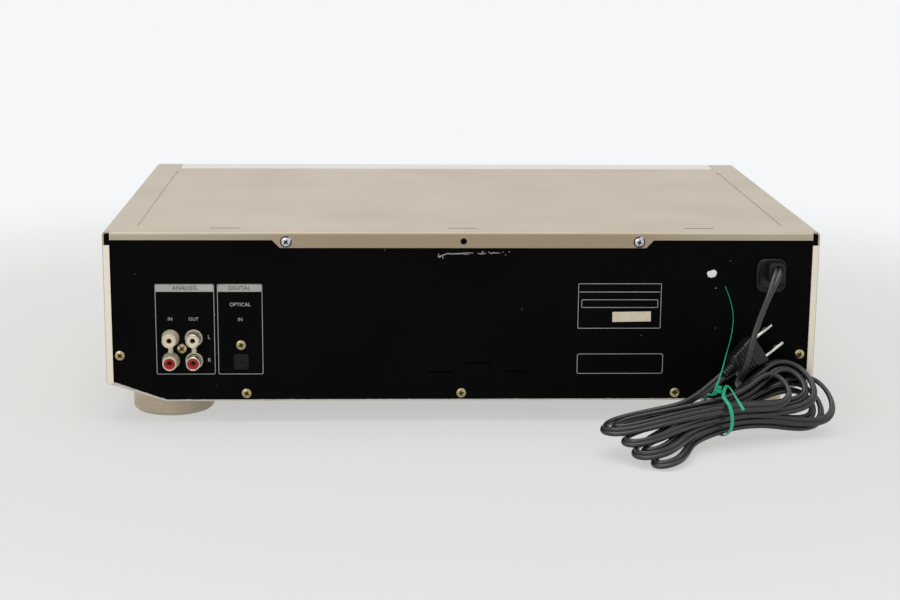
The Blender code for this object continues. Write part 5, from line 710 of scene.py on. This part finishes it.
# Twist tie: green polyethylene ribbon, faintly waxy, with a soft wire down its middle, wrapped once round the
# hank's waist and twisted, its long end left standing.
tie_green = surface("polyethylene, green extruded", '#17B786', '#10A375', (0.35, 0.5), 0.5, 0.02, blotch=10,
    coords="UV", stretch=(1, 0.3, 1))
TIE_RING = 13 * MM
TIE_ACROSS = 0.5 * MM
TIE_ALONG = 2 * MM
TIE_STEPS = 30
TIE_RING_SHARE = 0.94
TIE_SLANT = 3.2 * MM
TIE_KNOT_TURN = math.radians(70)
TIE_LONG = behind([(-151.3, 37.0, 42.5), (-155.0, 28.0, 49.0), (-159.6, 19.0, 59.5), (-161.4, 13.0, 69.5),
    (-160.0, 9.0, 78.5), (-157.2, 6.0, 86.4)])
TIE_SHORT = behind([(-152.5, 50.5, 36.5), (-157.5, 56.5, 29.5), (-160.5, 59.5, 24.5)])
RIBBON_HALF = 1.15 * MM
RIBBON_THIN = 0.16 * MM
WIRE = 0.42 * MM
hank_up = hank_axis.cross(hank_flat)
ring_middle = HANK_MIDDLE + hank_flat * TIE_ACROSS + hank_axis * TIE_ALONG
tie_ring = []
for i in range(0, TIE_STEPS + 1, 3):
    share = i / TIE_STEPS
    turn = TIE_KNOT_TURN - 2 * math.pi * share * TIE_RING_SHARE
    around = hank_flat * math.cos(turn) + hank_up * math.sin(turn)
    tie_ring.append(ring_middle + around * TIE_RING + hank_axis * TIE_SLANT * (share - 0.5))
tie_line = smooth_route(TIE_SHORT[::-1] + tie_ring + TIE_LONG, 0.8 * MM)
half_ribbon = [(-RIBBON_HALF, 0), (-RIBBON_HALF, -RIBBON_THIN), (-1.3 * WIRE, -RIBBON_THIN),
    (-0.75 * WIRE, -0.8 * WIRE), (0, -WIRE), (0.75 * WIRE, -0.8 * WIRE), (1.3 * WIRE, -RIBBON_THIN),
    (RIBBON_HALF, -RIBBON_THIN)]
ribbon = half_ribbon + [(-wide, -thin) for wide, thin in half_ribbon]
tie_lie = [(TIE_SHORT[-1], Vector((0.8, 0, 0.6))), (TIE_SHORT[0], Vector((0.8, 0, 0.6)))]
tie_lie += [(point, hank_axis) for point in tie_ring] + [(point, Vector((0, 1, 0.2))) for point in TIE_LONG]
tie_mesh = swept(tie_line, ribbon, tie_lie, swell=lambda share: 1 - 0.58 * ease((share - 0.6) / 0.2))
tie = add_piece("green_tie", tie_mesh, tie_green, crease=50)
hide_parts("twist_tie")
KNOT_TURNS = 2.25
KNOT_RADIUS = 1.5 * MM
KNOT_FOOT = 0.5 * MM
KNOT_RISE = 5.5 * MM
KNOT_STEPS = 60
KNOT_SIZE = 0.8
knot_turn = math.radians(81)
knot_way = hank_flat * math.cos(knot_turn) + hank_up * math.sin(knot_turn)
knot_side = hank_axis.cross(knot_way)
knot_line = []
for i in range(KNOT_STEPS + 1):
    share = i / KNOT_STEPS
    angle = 2 * math.pi * KNOT_TURNS * share
    round_knot = hank_axis * math.cos(angle) + knot_side * math.sin(angle)
    out = TIE_RING + KNOT_FOOT + KNOT_RISE * share
    knot_line.append(ring_middle + knot_way * out + round_knot * KNOT_RADIUS)
knot_lie = [(point, knot_way) for point in knot_line[::4]]
knot_mesh = swept(knot_line, ribbon, knot_lie, swell=lambda share: KNOT_SIZE)
add_piece("green_tie_twist", knot_mesh, tie_green, crease=50)

# Top cover: one folded steel sheet with a champagne metallic lacquer, fine orange peel and a little mottling.
# The sides' rear flanges are painted pale as a painted highlight, and the long one is painted darker towards
# its middle as painted shade.
lacquer = surface("steel, champagne metallic lacquer", '#B4A793', '#AC9F8A', (0.36, 0.46), 0.7, 0.012,
    blotch=70, metallic=0.3)
STRIP_INNER = 210.2 * MM
FLANGE_DEEP = 0.6 * MM
SHADE_FROM = 190 * MM
SHADE_TO = 70 * MM
SLIT_APART = 143.5 * MM
SLIT_HALF = 8.9 * MM
SLIT_FROM_REAR = 14 * MM
SLIT_EDGE = 0.62 * MM
tree, place, axes = places_on(lacquer)
across = add_node(tree, 'Math', (axes["X"],), 'ABSOLUTE')
rearmost = add_node(tree, 'Math', (axes["Y"], rear_y - FLANGE_DEEP), 'GREATER_THAN')
outer = add_node(tree, 'Math', (across, STRIP_INNER), 'GREATER_THAN')
inner = add_node(tree, 'MapRange', (across, SHADE_FROM, SHADE_TO), interpolation_type='SMOOTHSTEP')
# Painted shade on the long rear flange's middle, and a painted highlight on the side flanges
for part, colour, roughness in ((inner, '#9C8C72', 0.42), (outer, '#F0E4D2', 0.4)):
    part = add_node(tree, 'Math', (part, rearmost), 'MULTIPLY')
    overlay(lacquer, part, colour, roughness)
# Vent slits: their cut walls, and a thin line round each on the top, are painted dark as painted shade in the
# slits.
to_slit = add_node(tree, 'Math', (across, SLIT_APART), 'SUBTRACT')
to_slit = add_node(tree, 'Math', (to_slit,), 'ABSOLUTE')
to_slit = add_node(tree, 'Math', (to_slit, across), 'MINIMUM')
in_length = add_node(tree, 'Math', (to_slit, SLIT_HALF), 'LESS_THAN')
in_width = add_node(tree, 'Math', (axes["Y"], rear_y - SLIT_FROM_REAR, SLIT_EDGE), 'COMPARE')
slit_shade = add_node(tree, 'Math', (in_length, in_width), 'MULTIPLY')
overlay(lacquer, slit_shade, '#1C1A17', 0.7)
dress(lacquer, "top_cover")

# Screws: pressed steel pan heads with a Phillips recess. Bright zinc with a broad flange for the cover,
# yellow chromate for the rear panel, the jacks and the base. Both shine, and their recesses are painted dark
# as painted shade.
CROWN_SHARE = 0.45
CROWN_POWER = 2.4
RECESS_SHARE = 0.75
SLOT_SHARE = 0.3
SLOT_REACH = 0.52
SECOND_SLOT = 0.9
RECESS_TOP_SHARE = 0.7
FLANGE_THICK = 0.5 * MM
HEAD_SIDES = 36
JUST_ABOVE = 0.0001 * MM
tree = screw_tree = bpy.data.node_groups.new("pan head screws", 'GeometryNodeTree')
tree.interface.new_socket("Screws", in_out='OUTPUT', socket_type='NodeSocketGeometry')
screw_inputs = {}
for name, kind in (("Places", 'Geometry'), ("Head radius", 'Float'), ("Head height", 'Float'),
        ("Flange radius", 'Float'), ("Recess length", 'Float'), ("Finish", 'Material')):
    socket = tree.interface.new_socket(name, in_out='INPUT', socket_type='NodeSocket' + kind)
    screw_inputs[name] = socket.identifier
given = add_node(tree, 'NodeGroupInput', out=None)
radius, height, recess = given["Head radius"], given["Head height"], given["Recess length"]
# The head is a low dome, its edge pulled down by how far a point stands from the middle
head = add_node(tree, 'GeometryNodeMeshCylinder', {"Vertices": HEAD_SIDES, "Side Segments": 2,
    "Fill Segments": 6, "Radius": radius, "Depth": height})
spot_axes = add_node(tree, 'SeparateXYZ', (add_node(tree, 'GeometryNodeInputPosition'),), out=None)
level_spot = add_node(tree, 'CombineXYZ', (spot_axes["X"], spot_axes["Y"]))
from_middle = add_node(tree, 'VectorMath', (level_spot,), 'LENGTH', out="Value")
outward = add_node(tree, 'Math', (from_middle, radius), 'DIVIDE')
curve = add_node(tree, 'Math', (outward, CROWN_POWER), 'POWER')
crown = add_node(tree, 'Math', (height, CROWN_SHARE), 'MULTIPLY')
fall = add_node(tree, 'Math', (curve, crown), 'MULTIPLY')
down = add_node(tree, 'Math', (fall, -1), 'MULTIPLY')
is_top = add_node(tree, 'Math', (spot_axes["Z"], JUST_ABOVE), 'GREATER_THAN')
drop = add_node(tree, 'Math', (down, is_top), 'MULTIPLY')
drop = add_node(tree, 'CombineXYZ', {"Z": drop})
domed = add_node(tree, 'GeometryNodeSetPosition', {"Geometry": head, "Offset": drop})
# A thin round flange under it
flange = add_node(tree, 'GeometryNodeMeshCylinder', {"Vertices": HEAD_SIDES, "Radius": given["Flange radius"],
    "Depth": FLANGE_THICK})
half_height = add_node(tree, 'Math', (height, 0.5), 'MULTIPLY')
foot = add_node(tree, 'Math', (half_height, -1), 'MULTIPLY')
foot = add_node(tree, 'Math', (foot, FLANGE_THICK / 2), 'ADD')
foot = add_node(tree, 'CombineXYZ', {"Z": foot})
seated = add_node(tree, 'GeometryNodeTransform', {"Geometry": flange, "Translation": foot})
recessed = add_node(tree, 'GeometryNodeMeshBoolean', {"Mesh 2": [domed, seated]}, 'UNION', solver='EXACT')
# The recess is cut by one bar twice, the second time a quarter turned
slot_deep = add_node(tree, 'Math', (height, RECESS_SHARE), 'MULTIPLY')
slot_deep = add_node(tree, 'Math', (slot_deep, 2), 'MULTIPLY')
slot_wide = add_node(tree, 'Math', (recess, SLOT_SHARE), 'MULTIPLY')
slot_size = add_node(tree, 'CombineXYZ', (recess, slot_wide, slot_deep))
bit = add_node(tree, 'GeometryNodeMeshCube', {"Size": slot_size})
high_middle = add_node(tree, 'CombineXYZ', {"Z": half_height})
for quarter, share in ((0, 1.0), (math.pi / 2, SECOND_SLOT)):
    wing = add_node(tree, 'GeometryNodeTransform', {"Geometry": bit, "Translation": high_middle,
        "Rotation": (0, 0, quarter), "Scale": (1, 1, share)})
    recessed = add_node(tree, 'GeometryNodeMeshBoolean', {"Mesh 1": recessed, "Mesh 2": wing},
        'DIFFERENCE', solver='EXACT')
bottom = add_node(tree, 'Math', (half_height, RECESS_TOP_SHARE), 'MULTIPLY')
deep = add_node(tree, 'Math', (spot_axes["Z"], bottom), 'LESS_THAN')
reach = add_node(tree, 'Math', (recess, SLOT_REACH), 'MULTIPLY')
near = add_node(tree, 'Math', (from_middle, reach), 'LESS_THAN')
in_slot = add_node(tree, 'Math', (deep, near), 'MULTIPLY')
marked = add_node(tree, 'GeometryNodeStoreNamedAttribute', {"Geometry": recessed, "Name": "recess",
    "Value": in_slot}, domain='FACE', data_type='FLOAT')
lift = add_node(tree, 'GeometryNodeTransform', {"Geometry": marked, "Translation": high_middle})
# Each place has its own turn and the way that the screw faces
turn = add_node(tree, 'GeometryNodeInputNamedAttribute', {"Name": "turn"}, data_type='FLOAT')
facing = add_node(tree, 'GeometryNodeInputNamedAttribute', {"Name": "facing"}, data_type='FLOAT_VECTOR')
driven = add_node(tree, 'CombineXYZ', {"Z": turn})
spun = add_node(tree, 'FunctionNodeEulerToRotation', (driven,))
aimed = add_node(tree, 'FunctionNodeAlignRotationToVector', {"Rotation": spun, "Vector": facing}, axis='Z')
copies = add_node(tree, 'GeometryNodeInstanceOnPoints', {"Points": given["Places"], "Instance": lift,
    "Rotation": aimed})
real = add_node(tree, 'GeometryNodeRealizeInstances', {"Geometry": copies})
coated = add_node(tree, 'GeometryNodeSetMaterial', {"Geometry": real, "Material": given["Finish"]})
add_node(tree, 'NodeGroupOutput', (coated,), out=None)


def evaluated_mesh(holder):
    """What an object's curve or modifiers make, as a plain mesh. The object goes."""
    bpy.context.view_layer.update()
    mesh = bpy.data.meshes.new_from_object(holder.evaluated_get(bpy.context.evaluated_depsgraph_get()))
    bpy.data.objects.remove(holder)
    return mesh


def add_screws(name, places, finish, **sizes):
    """One piece of screws from (x, y, z), the way each faces, and a turn left by whoever drove it."""
    turns = random.Random(len(name))
    mesh = bpy.data.meshes.new(name + " places")
    mesh.from_pydata([place for place, way in places], [], [])
    mesh.attributes.new("facing", 'FLOAT_VECTOR', 'POINT').data.foreach_set(
        "vector", [part for place, way in places for part in way])
    mesh.attributes.new("turn", 'FLOAT', 'POINT').data.foreach_set(
        "value", [turns.uniform(0, math.pi / 2) for place in places])
    holder = add_object(name + " places", mesh)
    modifier = holder.modifiers.new("screws", 'NODES')
    modifier.node_group = screw_tree
    modifier[screw_inputs["Finish"]] = finish
    for size, value in sizes.items():
        modifier[screw_inputs[size.capitalize().replace("_", " ")]] = value * MM
    return add_piece(name, evaluated_mesh(holder), finish)


bright_zinc = surface("steel, bright zinc plated", '#D6D7DA', '#B9BABF', (0.16, 0.3), 0.3, 0.006, blotch=3,
    metallic=1.0)
yellow_zinc = surface("steel, yellow chromate on zinc", '#C2B38A', '#9C8D66', (0.22, 0.38), 0.3, 0.006,
    blotch=3, metallic=1.0)
# The faces deep in each recess are painted dark, painted shade.
for finish, shadow in ((bright_zinc, '#2E2E32'), (yellow_zinc, '#32291A')):
    overlay(finish, add_node(finish.node_tree, 'Attribute', out="Fac", attribute_name="recess"), shadow, 0.6)
REARWARD = (0, 1, 0)
cover_spots = [((x * MM, rear_y, z * MM), REARWARD) for x, z in ((106.0, 112.3), (-105.4, 112.1))]
panel_spots = [((x * MM, panel_face, z * MM), REARWARD) for x, z in (
    (206.5, 42.3), (-205.9, 42.6), (130.8, 18.6), (0.6, 18.6), (-130.0, 18.5), (169.2, 46.6), (133.7, 48.7))]
side_spots = [((side * 215.0 * MM, y * MM, 33.0 * MM), (side, 0, 0))
    for side in (-1, 1) for y in (-92.0, 62.0)]
add_screws("cover_screws_rear", cover_spots, bright_zinc, head_radius=2.7, head_height=1.5,
    flange_radius=3.45, recess_length=3.0)
add_screws("panel_screws", panel_spots, yellow_zinc, head_radius=2.85, head_height=1.4, flange_radius=2.95,
    recess_length=3.1)
add_screws("cover_screws_side", side_spots, bright_zinc, head_radius=2.9, head_height=1.5, flange_radius=3.6,
    recess_length=3.0)

# Printing on the rear panel: one pass of grey epoxy ink, screened and matt. Frames round the jacks and the
# rating plate's place, their headers solid with dark letters. The rating frames are left bare.
INK = 0.04 * MM
LINE_HALF = 0.17 * MM
ROUND_STEPS = 3


def letters(text, height, matrix):
    """The text as a thin closed mesh with capitals of that height, its middle at the matrix's origin."""
    curve = bpy.data.curves.new("letters", 'FONT')
    curve.body = text
    curve.resolution_u = 3
    curve.extrude = 0.01
    mesh = evaluated_mesh(add_object("letters", curve))
    low = Vector([min(vertex.co[i] for vertex in mesh.vertices) for i in range(3)])
    high = Vector([max(vertex.co[i] for vertex in mesh.vertices) for i in range(3)])
    size = height / (high.y - low.y)
    for vertex in mesh.vertices:
        flat = (vertex.co - (low + high) / 2) * size
        vertex.co = matrix @ Vector((flat.x, flat.y, INK if vertex.co.z > 0 else -INK / 2))
    return mesh


def joined(parts):
    whole = bmesh.new()
    for part in parts:
        whole.from_mesh(part)
        bpy.data.meshes.remove(part)
    return as_mesh(whole)


def outline_of(low_x, high_x, low_z, high_z, corner):
    """A printed frame, its line's middle on the given edges."""
    half_wide, half_high = (high_x - low_x) / 2, (high_z - low_z) / 2
    placed = on_panel((low_x + high_x) / 2, (low_z + high_z) / 2)
    outer = (half_wide + LINE_HALF, half_high + LINE_HALF, corner + LINE_HALF)
    inner = (half_wide - LINE_HALF, half_high - LINE_HALF, max(corner - LINE_HALF, 0.05 * MM))
    return lofted([(*outer, -INK / 2), (*outer, INK), (*inner, INK), (*inner, -INK / 2)], placed,
        steps=ROUND_STEPS, ring=True)


def bar_of(low_x, high_x, low_z, high_z, corner=0.1 * MM):
    half = ((high_x - low_x) / 2, (high_z - low_z) / 2, corner)
    placed = on_panel((low_x + high_x) / 2, (low_z + high_z) / 2)
    return lofted([(*half, -INK / 2), (*half, INK)], placed, steps=ROUND_STEPS)


def reads_behind(x, z):
    """Letters read from behind the deck."""
    return Matrix(((-1, 0, 0, x), (0, 0, 1, panel_face), (0, 1, 0, z), (0, 0, 0, 1)))


grey_ink = surface("epoxy ink, light grey", '#B2B2AE', '#9C9C98', (0.5, 0.62), 0.25, 0.006, blotch=5)
dark_ink = surface("panel paint between the ink", '#141414', '#0E0E0E', (0.45, 0.6), 0.25, 0.006)
HEADER_Z = 81.5 * MM
HEADER_WORD = 2.5 * MM
HEADER_ROUND = 0.9 * MM
prints = []
header_letters = []
for text, low_x, high_x in (("ANALOG", 149.5, 184.5), ("DIGITAL", 120.7, 147.4)):
    low_x, high_x, low_z, high_z = in_metres([(low_x, high_x, 30.6, 86.1)])[0]
    prints.append(outline_of(low_x, high_x, low_z, high_z, HEADER_ROUND))
    prints.append(bar_of(low_x, high_x, HEADER_Z, high_z, HEADER_ROUND))
    place = reads_behind((low_x + high_x) / 2, (HEADER_Z + high_z) / 2) @ Matrix.Translation((0, 0, INK))
    header_letters.append(letters(text, HEADER_WORD, place))
RATING_FRAME = (-119.9, -69.7, 58.8, 86.4, 0.6)
RATING_RULE = (-119.2, -70.5, 81.1, 81.5)
INNER_FRAME = (-118.0, -71.8, 71.7, 76.5, 0.4)
LOW_FRAME = (-122.1, -69.8, 30.5, 42.8, 1.2)
for draw, edges in ((outline_of, RATING_FRAME), (bar_of, RATING_RULE), (outline_of, INNER_FRAME),
        (outline_of, LOW_FRAME)):
    prints.append(draw(*in_metres([edges])[0]))
for text, height, x, z in (("IN", 2.0, 175.9, 64.8), ("OUT", 2.0, 161.9, 64.8), ("L", 2.3, 152.8, 53.7),
        ("R", 2.3, 152.8, 39.4), ("OPTICAL", 2.2, 133.9, 73.7), ("IN", 2.0, 134.0, 64.5)):
    prints.append(letters(text, height * MM, reads_behind(x * MM, z * MM)))
add_piece("panel_print", joined(prints), grey_ink)
add_piece("panel_print_headers", joined(header_letters), dark_ink)

# Blank paper label in the rating frame, coated and so barely rough, its glue yellowed.
aged_paper = surface("paper label, coated", '#DDD4C0', '#D2C6AD', (0.4, 0.55), 0.6, 0.01, blotch=6)
LABEL = (11.7 * MM, 3.1 * MM, 0.3 * MM)
label_place = on_panel(-102.3 * MM, 66.0 * MM) @ Matrix.Rotation(math.radians(-0.8), 4, 'Z')
label = lofted([(*LABEL, -INK), (*LABEL, 2 * INK)], label_place, steps=ROUND_STEPS)
add_piece("blank_label", label, aged_paper)


# Bare edge of the zinc-plated tray under the rear panel, painted pale and matt as a painted highlight of the
# floor's light. It is a thin line along the bottom and a broad one under the cut corners.
def printed(points, matrix, back=-INK / 2, front=INK):
    """A flat shape from its corners, in order round it, as thin as ink unless back and front say more."""
    shape = bmesh.new()
    rims = [[shape.verts.new(matrix @ Vector((wide, high, along))) for wide, high in points]
        for along in (back, front)]
    for i in range(len(points)):
        shape.faces.new((rims[0][i - 1], rims[0][i], rims[1][i], rims[1][i - 1]))
    for rim in rims:
        shape.faces.new(rim)
    return as_mesh(shape)


# Pale and matt: a painted highlight of the floor's light on the tray's edge
zinc_edge_highlight = surface("steel, zinc plated, painted highlight", '#CFCBC1', '#B9B4A8', (0.35, 0.5), 0.8, 0.02, blotch=9)
EDGE_DROPS = (2.0 * MM, 0.9 * MM)
EDGE_BACK = 1.0 * MM
half_edge = [(PANEL_HALF, CORNER_RISE, EDGE_DROPS[0]), (PANEL_FLAT_HALF, 0, EDGE_DROPS[1])]
over = [(x, PANEL_LOW_Z + rise) for x, rise, drop in half_edge]
under = [(x, PANEL_LOW_Z + rise - drop) for x, rise, drop in half_edge]
strip = over + [(-x, z) for x, z in over[::-1] + under] + under[::-1]
add_piece("tray_edge", printed(strip, on_panel(0, 0), -EDGE_BACK, 0), zinc_edge_highlight)

# Wear: a dab of white correction paint, thick and chalky, and pale matt scratches that cut to the primer.
white_paint = surface("correction paint, brushed", '#F2F2EE', '#DEDEDA', (0.6, 0.75), 0.9, 0.08, blotch=2)
DAB = (2.9 * MM, 2.2 * MM)
dab_rows = [(1.0, -INK), (1.04, 0.05 * MM), (0.96, 0.16 * MM), (0.8, 0.22 * MM), (0.4, 0.25 * MM)]
rows = [(DAB[0] * share, DAB[1] * share, DAB[1] * share * 0.98, along) for share, along in dab_rows]
dab_place = on_panel(-150.3 * MM, 92.5 * MM)
dab = lofted(rows, dab_place @ Matrix.Rotation(math.radians(-14), 4, 'Z'), steps=9)
dab_middle = dab_place.translation
for vertex in dab.vertices:
    turn = math.atan2(vertex.co.z - dab_middle.z, vertex.co.x - dab_middle.x)
    share = 0.97 + 0.04 * math.sin(3 * turn + 1) + 0.03 * math.sin(7 * turn)
    vertex.co.x = dab_middle.x + (vertex.co.x - dab_middle.x) * share
    vertex.co.z = dab_middle.z + (vertex.co.z - dab_middle.z) * share
add_piece("paint_dab", dab, white_paint, crease=60)
primer = surface("primer, scratched", '#A9A8A4', '#7E7D7A', (0.6, 0.75), 0.2, 0.02, blotch=1.5)
# Each stroke: its half width, then its points, in millimetres
SCRATCHES = (
    (0.35, ((15.0, 103.2), (12.4, 103.9), (9.6, 104.9), (7.6, 104.7), (5.8, 104.8), (1.6, 104.9),
            (-1.9, 105.3), (-6.0, 105.2))),
    (0.3, ((14.8, 104.9), (14.9, 102.6), (12.6, 103.9))),
    (0.25, ((12.5, 103.8), (12.3, 101.6))),
    (0.2, ((0.0, 104.5), (-3.5, 104.4))),
    (0.32, ((-8.4, 105.2), (-10.2, 104.7), (-12.0, 104.8), (-13.4, 105.2))),
    (0.28, ((-10.6, 105.4), (-12.0, 106.3))),
    (0.3, ((-14.8, 106.1), (-16.9, 104.8), (-17.6, 105.4), (-19.7, 105.3), (-22.0, 105.3))),
    (0.25, ((-23.4, 105.8), (-24.0, 105.7))),
    (0.25, ((-27.0, 106.0), (-27.8, 106.0))),
    (0.2, ((-24.9, 104.2), (-25.6, 103.9))),
    (0.2, ((-152.4, 83.5), (-153.6, 83.9))),
    (0.15, ((-153.2, 58.9), (-153.9, 58.9))),
)


def stroke_width(share):
    return 0.25 + 0.75 * math.sin(math.pi * min(max(share, 0.02), 0.98)) ** 0.5


strokes = []
for half, points in SCRATCHES:
    line = smooth_route([Vector((x * MM, panel_face, z * MM)) for x, z in points], 0.5 * MM)
    flat_stroke = [(-half * MM, -INK), (half * MM, -INK), (0.7 * half * MM, INK), (-0.7 * half * MM, INK)]
    way = (line[-1] - line[0]).cross(Vector((0, 1, 0))).normalized()
    strokes.append(swept(line, flat_stroke, [(line[0], way)], swell=stroke_width))
add_piece("panel_scratches", joined(strokes), primer, crease=60)

# Printing on the front, guessed: one pass of dark brown ink, matt, with scales round the two level knobs.
front_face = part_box("front_panel")[0].y


def reads_front(x, z, y=front_face):
    """Letters read from the front of the deck."""
    return Matrix(((1, 0, 0, x), (0, 0, -1, y), (0, 1, 0, z), (0, 0, 0, 1)))


def mark_on(node, name, points):
    """A printed mark that rides the key or knob it is on, its points given from the middle."""
    x, z, tall = middle_of(node)
    mark = printed(points, reads_front(x, z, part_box(node)[0].y))
    add_piece(name, mark, brown_ink, body=node)


brown_ink = surface("pad ink, dark brown", '#3B362E', '#312C26', (0.45, 0.6), 0.25, 0.005, blotch=5)
WORD = 1.9 * MM
ABOVE = 3.2 * MM
SWITCH_WORD = 1.35 * MM
SWITCH_APART = 5.6 * MM
NUMBER = 1.6 * MM
fronts = []
for text, node in (("POWER", "power_button"), ("OPEN/CLOSE", "open_button"), ("EJECT", "eject_button"),
        ("INPUT", "input_switch"), ("PHONES", "phones_jack"), ("REC", "rec_button")):
    x, z, tall = middle_of(node)
    fronts.append(letters(text, WORD, reads_front(x, z + tall / 2 + ABOVE)))
for text, node in (("CD", "cd_play_button"), ("MD", "md_play_button")):
    x, z, tall = middle_of(node)
    across = (x + middle_of(node.replace("play", "stop"))[0]) / 2
    fronts.append(letters(text, WORD, reads_front(across, z + tall / 2 + ABOVE)))
x, z, tall = middle_of("input_switch")
for side, text in ((-1, "ANALOG"), (1, "OPTICAL")):
    fronts.append(letters(text, SWITCH_WORD, reads_front(x + side * SWITCH_APART, z - tall / 2 - ABOVE)))
# Knob, its word and how high that stands, ticks, and whether they have numbers
SCALES = (("rec_level_knob", "REC LEVEL", 22.5 * MM, 11, True), ("phones_knob", "LEVEL", 11.7 * MM, 7, False))
SWING = 150
TICK_ROOM = 1.4 * MM
TICK_LONG = 1.5 * MM
TICK_HALF = 0.13 * MM
NUMBER_ROOM = 4.7 * MM
for node, text, rise, count, numbered in SCALES:
    x, z, tall = middle_of(node)
    fronts.append(letters(text, WORD, reads_front(x, z + rise)))
    near, far = tall / 2 + TICK_ROOM, tall / 2 + TICK_ROOM + TICK_LONG
    tick = [(-TICK_HALF, near), (TICK_HALF, near), (TICK_HALF, far), (-TICK_HALF, far)]
    for i in range(count):
        turn = math.radians(SWING - 2 * SWING * i / (count - 1))
        fronts.append(printed(tick, reads_front(x, z) @ Matrix.Rotation(turn, 4, 'Z')))
        if numbered:
            out = tall / 2 + NUMBER_ROOM
            place = reads_front(x - out * math.sin(turn), z + out * math.cos(turn))
            fronts.append(letters(str(i), NUMBER, place))
# A line from the rim inwards on each level knob says where it stands
LINE_WIDE = 0.45 * MM
LINE_SHARES = (0.5, 0.93)
for node in ("rec_level_knob", "phones_knob"):
    near, far = (middle_of(node)[2] / 2 * share for share in LINE_SHARES)
    mark_on(node, node + "_line", [(side * LINE_WIDE / 2, reach) for side, reach in (
        (-1, near), (1, near), (1, far), (-1, far))])
# Track arrows beside the jog dial, pointing outwards in pairs
ARROW = 2.2 * MM
ARROW_LONG = 0.85
ARROW_PLACE = (19.5 * MM, 18.5 * MM)
x, z, tall = middle_of("jog_dial")
for side in (-1, 1):
    for step in (0, ARROW_LONG):
        start = side * (ARROW_PLACE[0] + step * ARROW)
        arrow = [(start, -ARROW / 2), (start + side * ARROW_LONG * ARROW, 0), (start, ARROW / 2)]
        fronts.append(printed(arrow, reads_front(x, z + ARROW_PLACE[1])))
fronts.append(letters("TRACK", WORD, reads_front(x, z + ARROW_PLACE[1] + ABOVE)))
add_piece("front_print", joined(fronts), brown_ink)
# Play and stop marks ride on the keys themselves
MARK = 2.7 * MM
for source in ("cd", "md"):
    for action, points in (("play", ((-0.45, -0.5), (0.45, 0), (-0.45, 0.5))),
            ("stop", ((-0.45, -0.45), (0.45, -0.45), (0.45, 0.45), (-0.45, 0.45)))):
        node = source + "_" + action + "_button"
        mark_on(node, node + "_mark", [(wide * MARK, high * MARK) for wide, high in points])
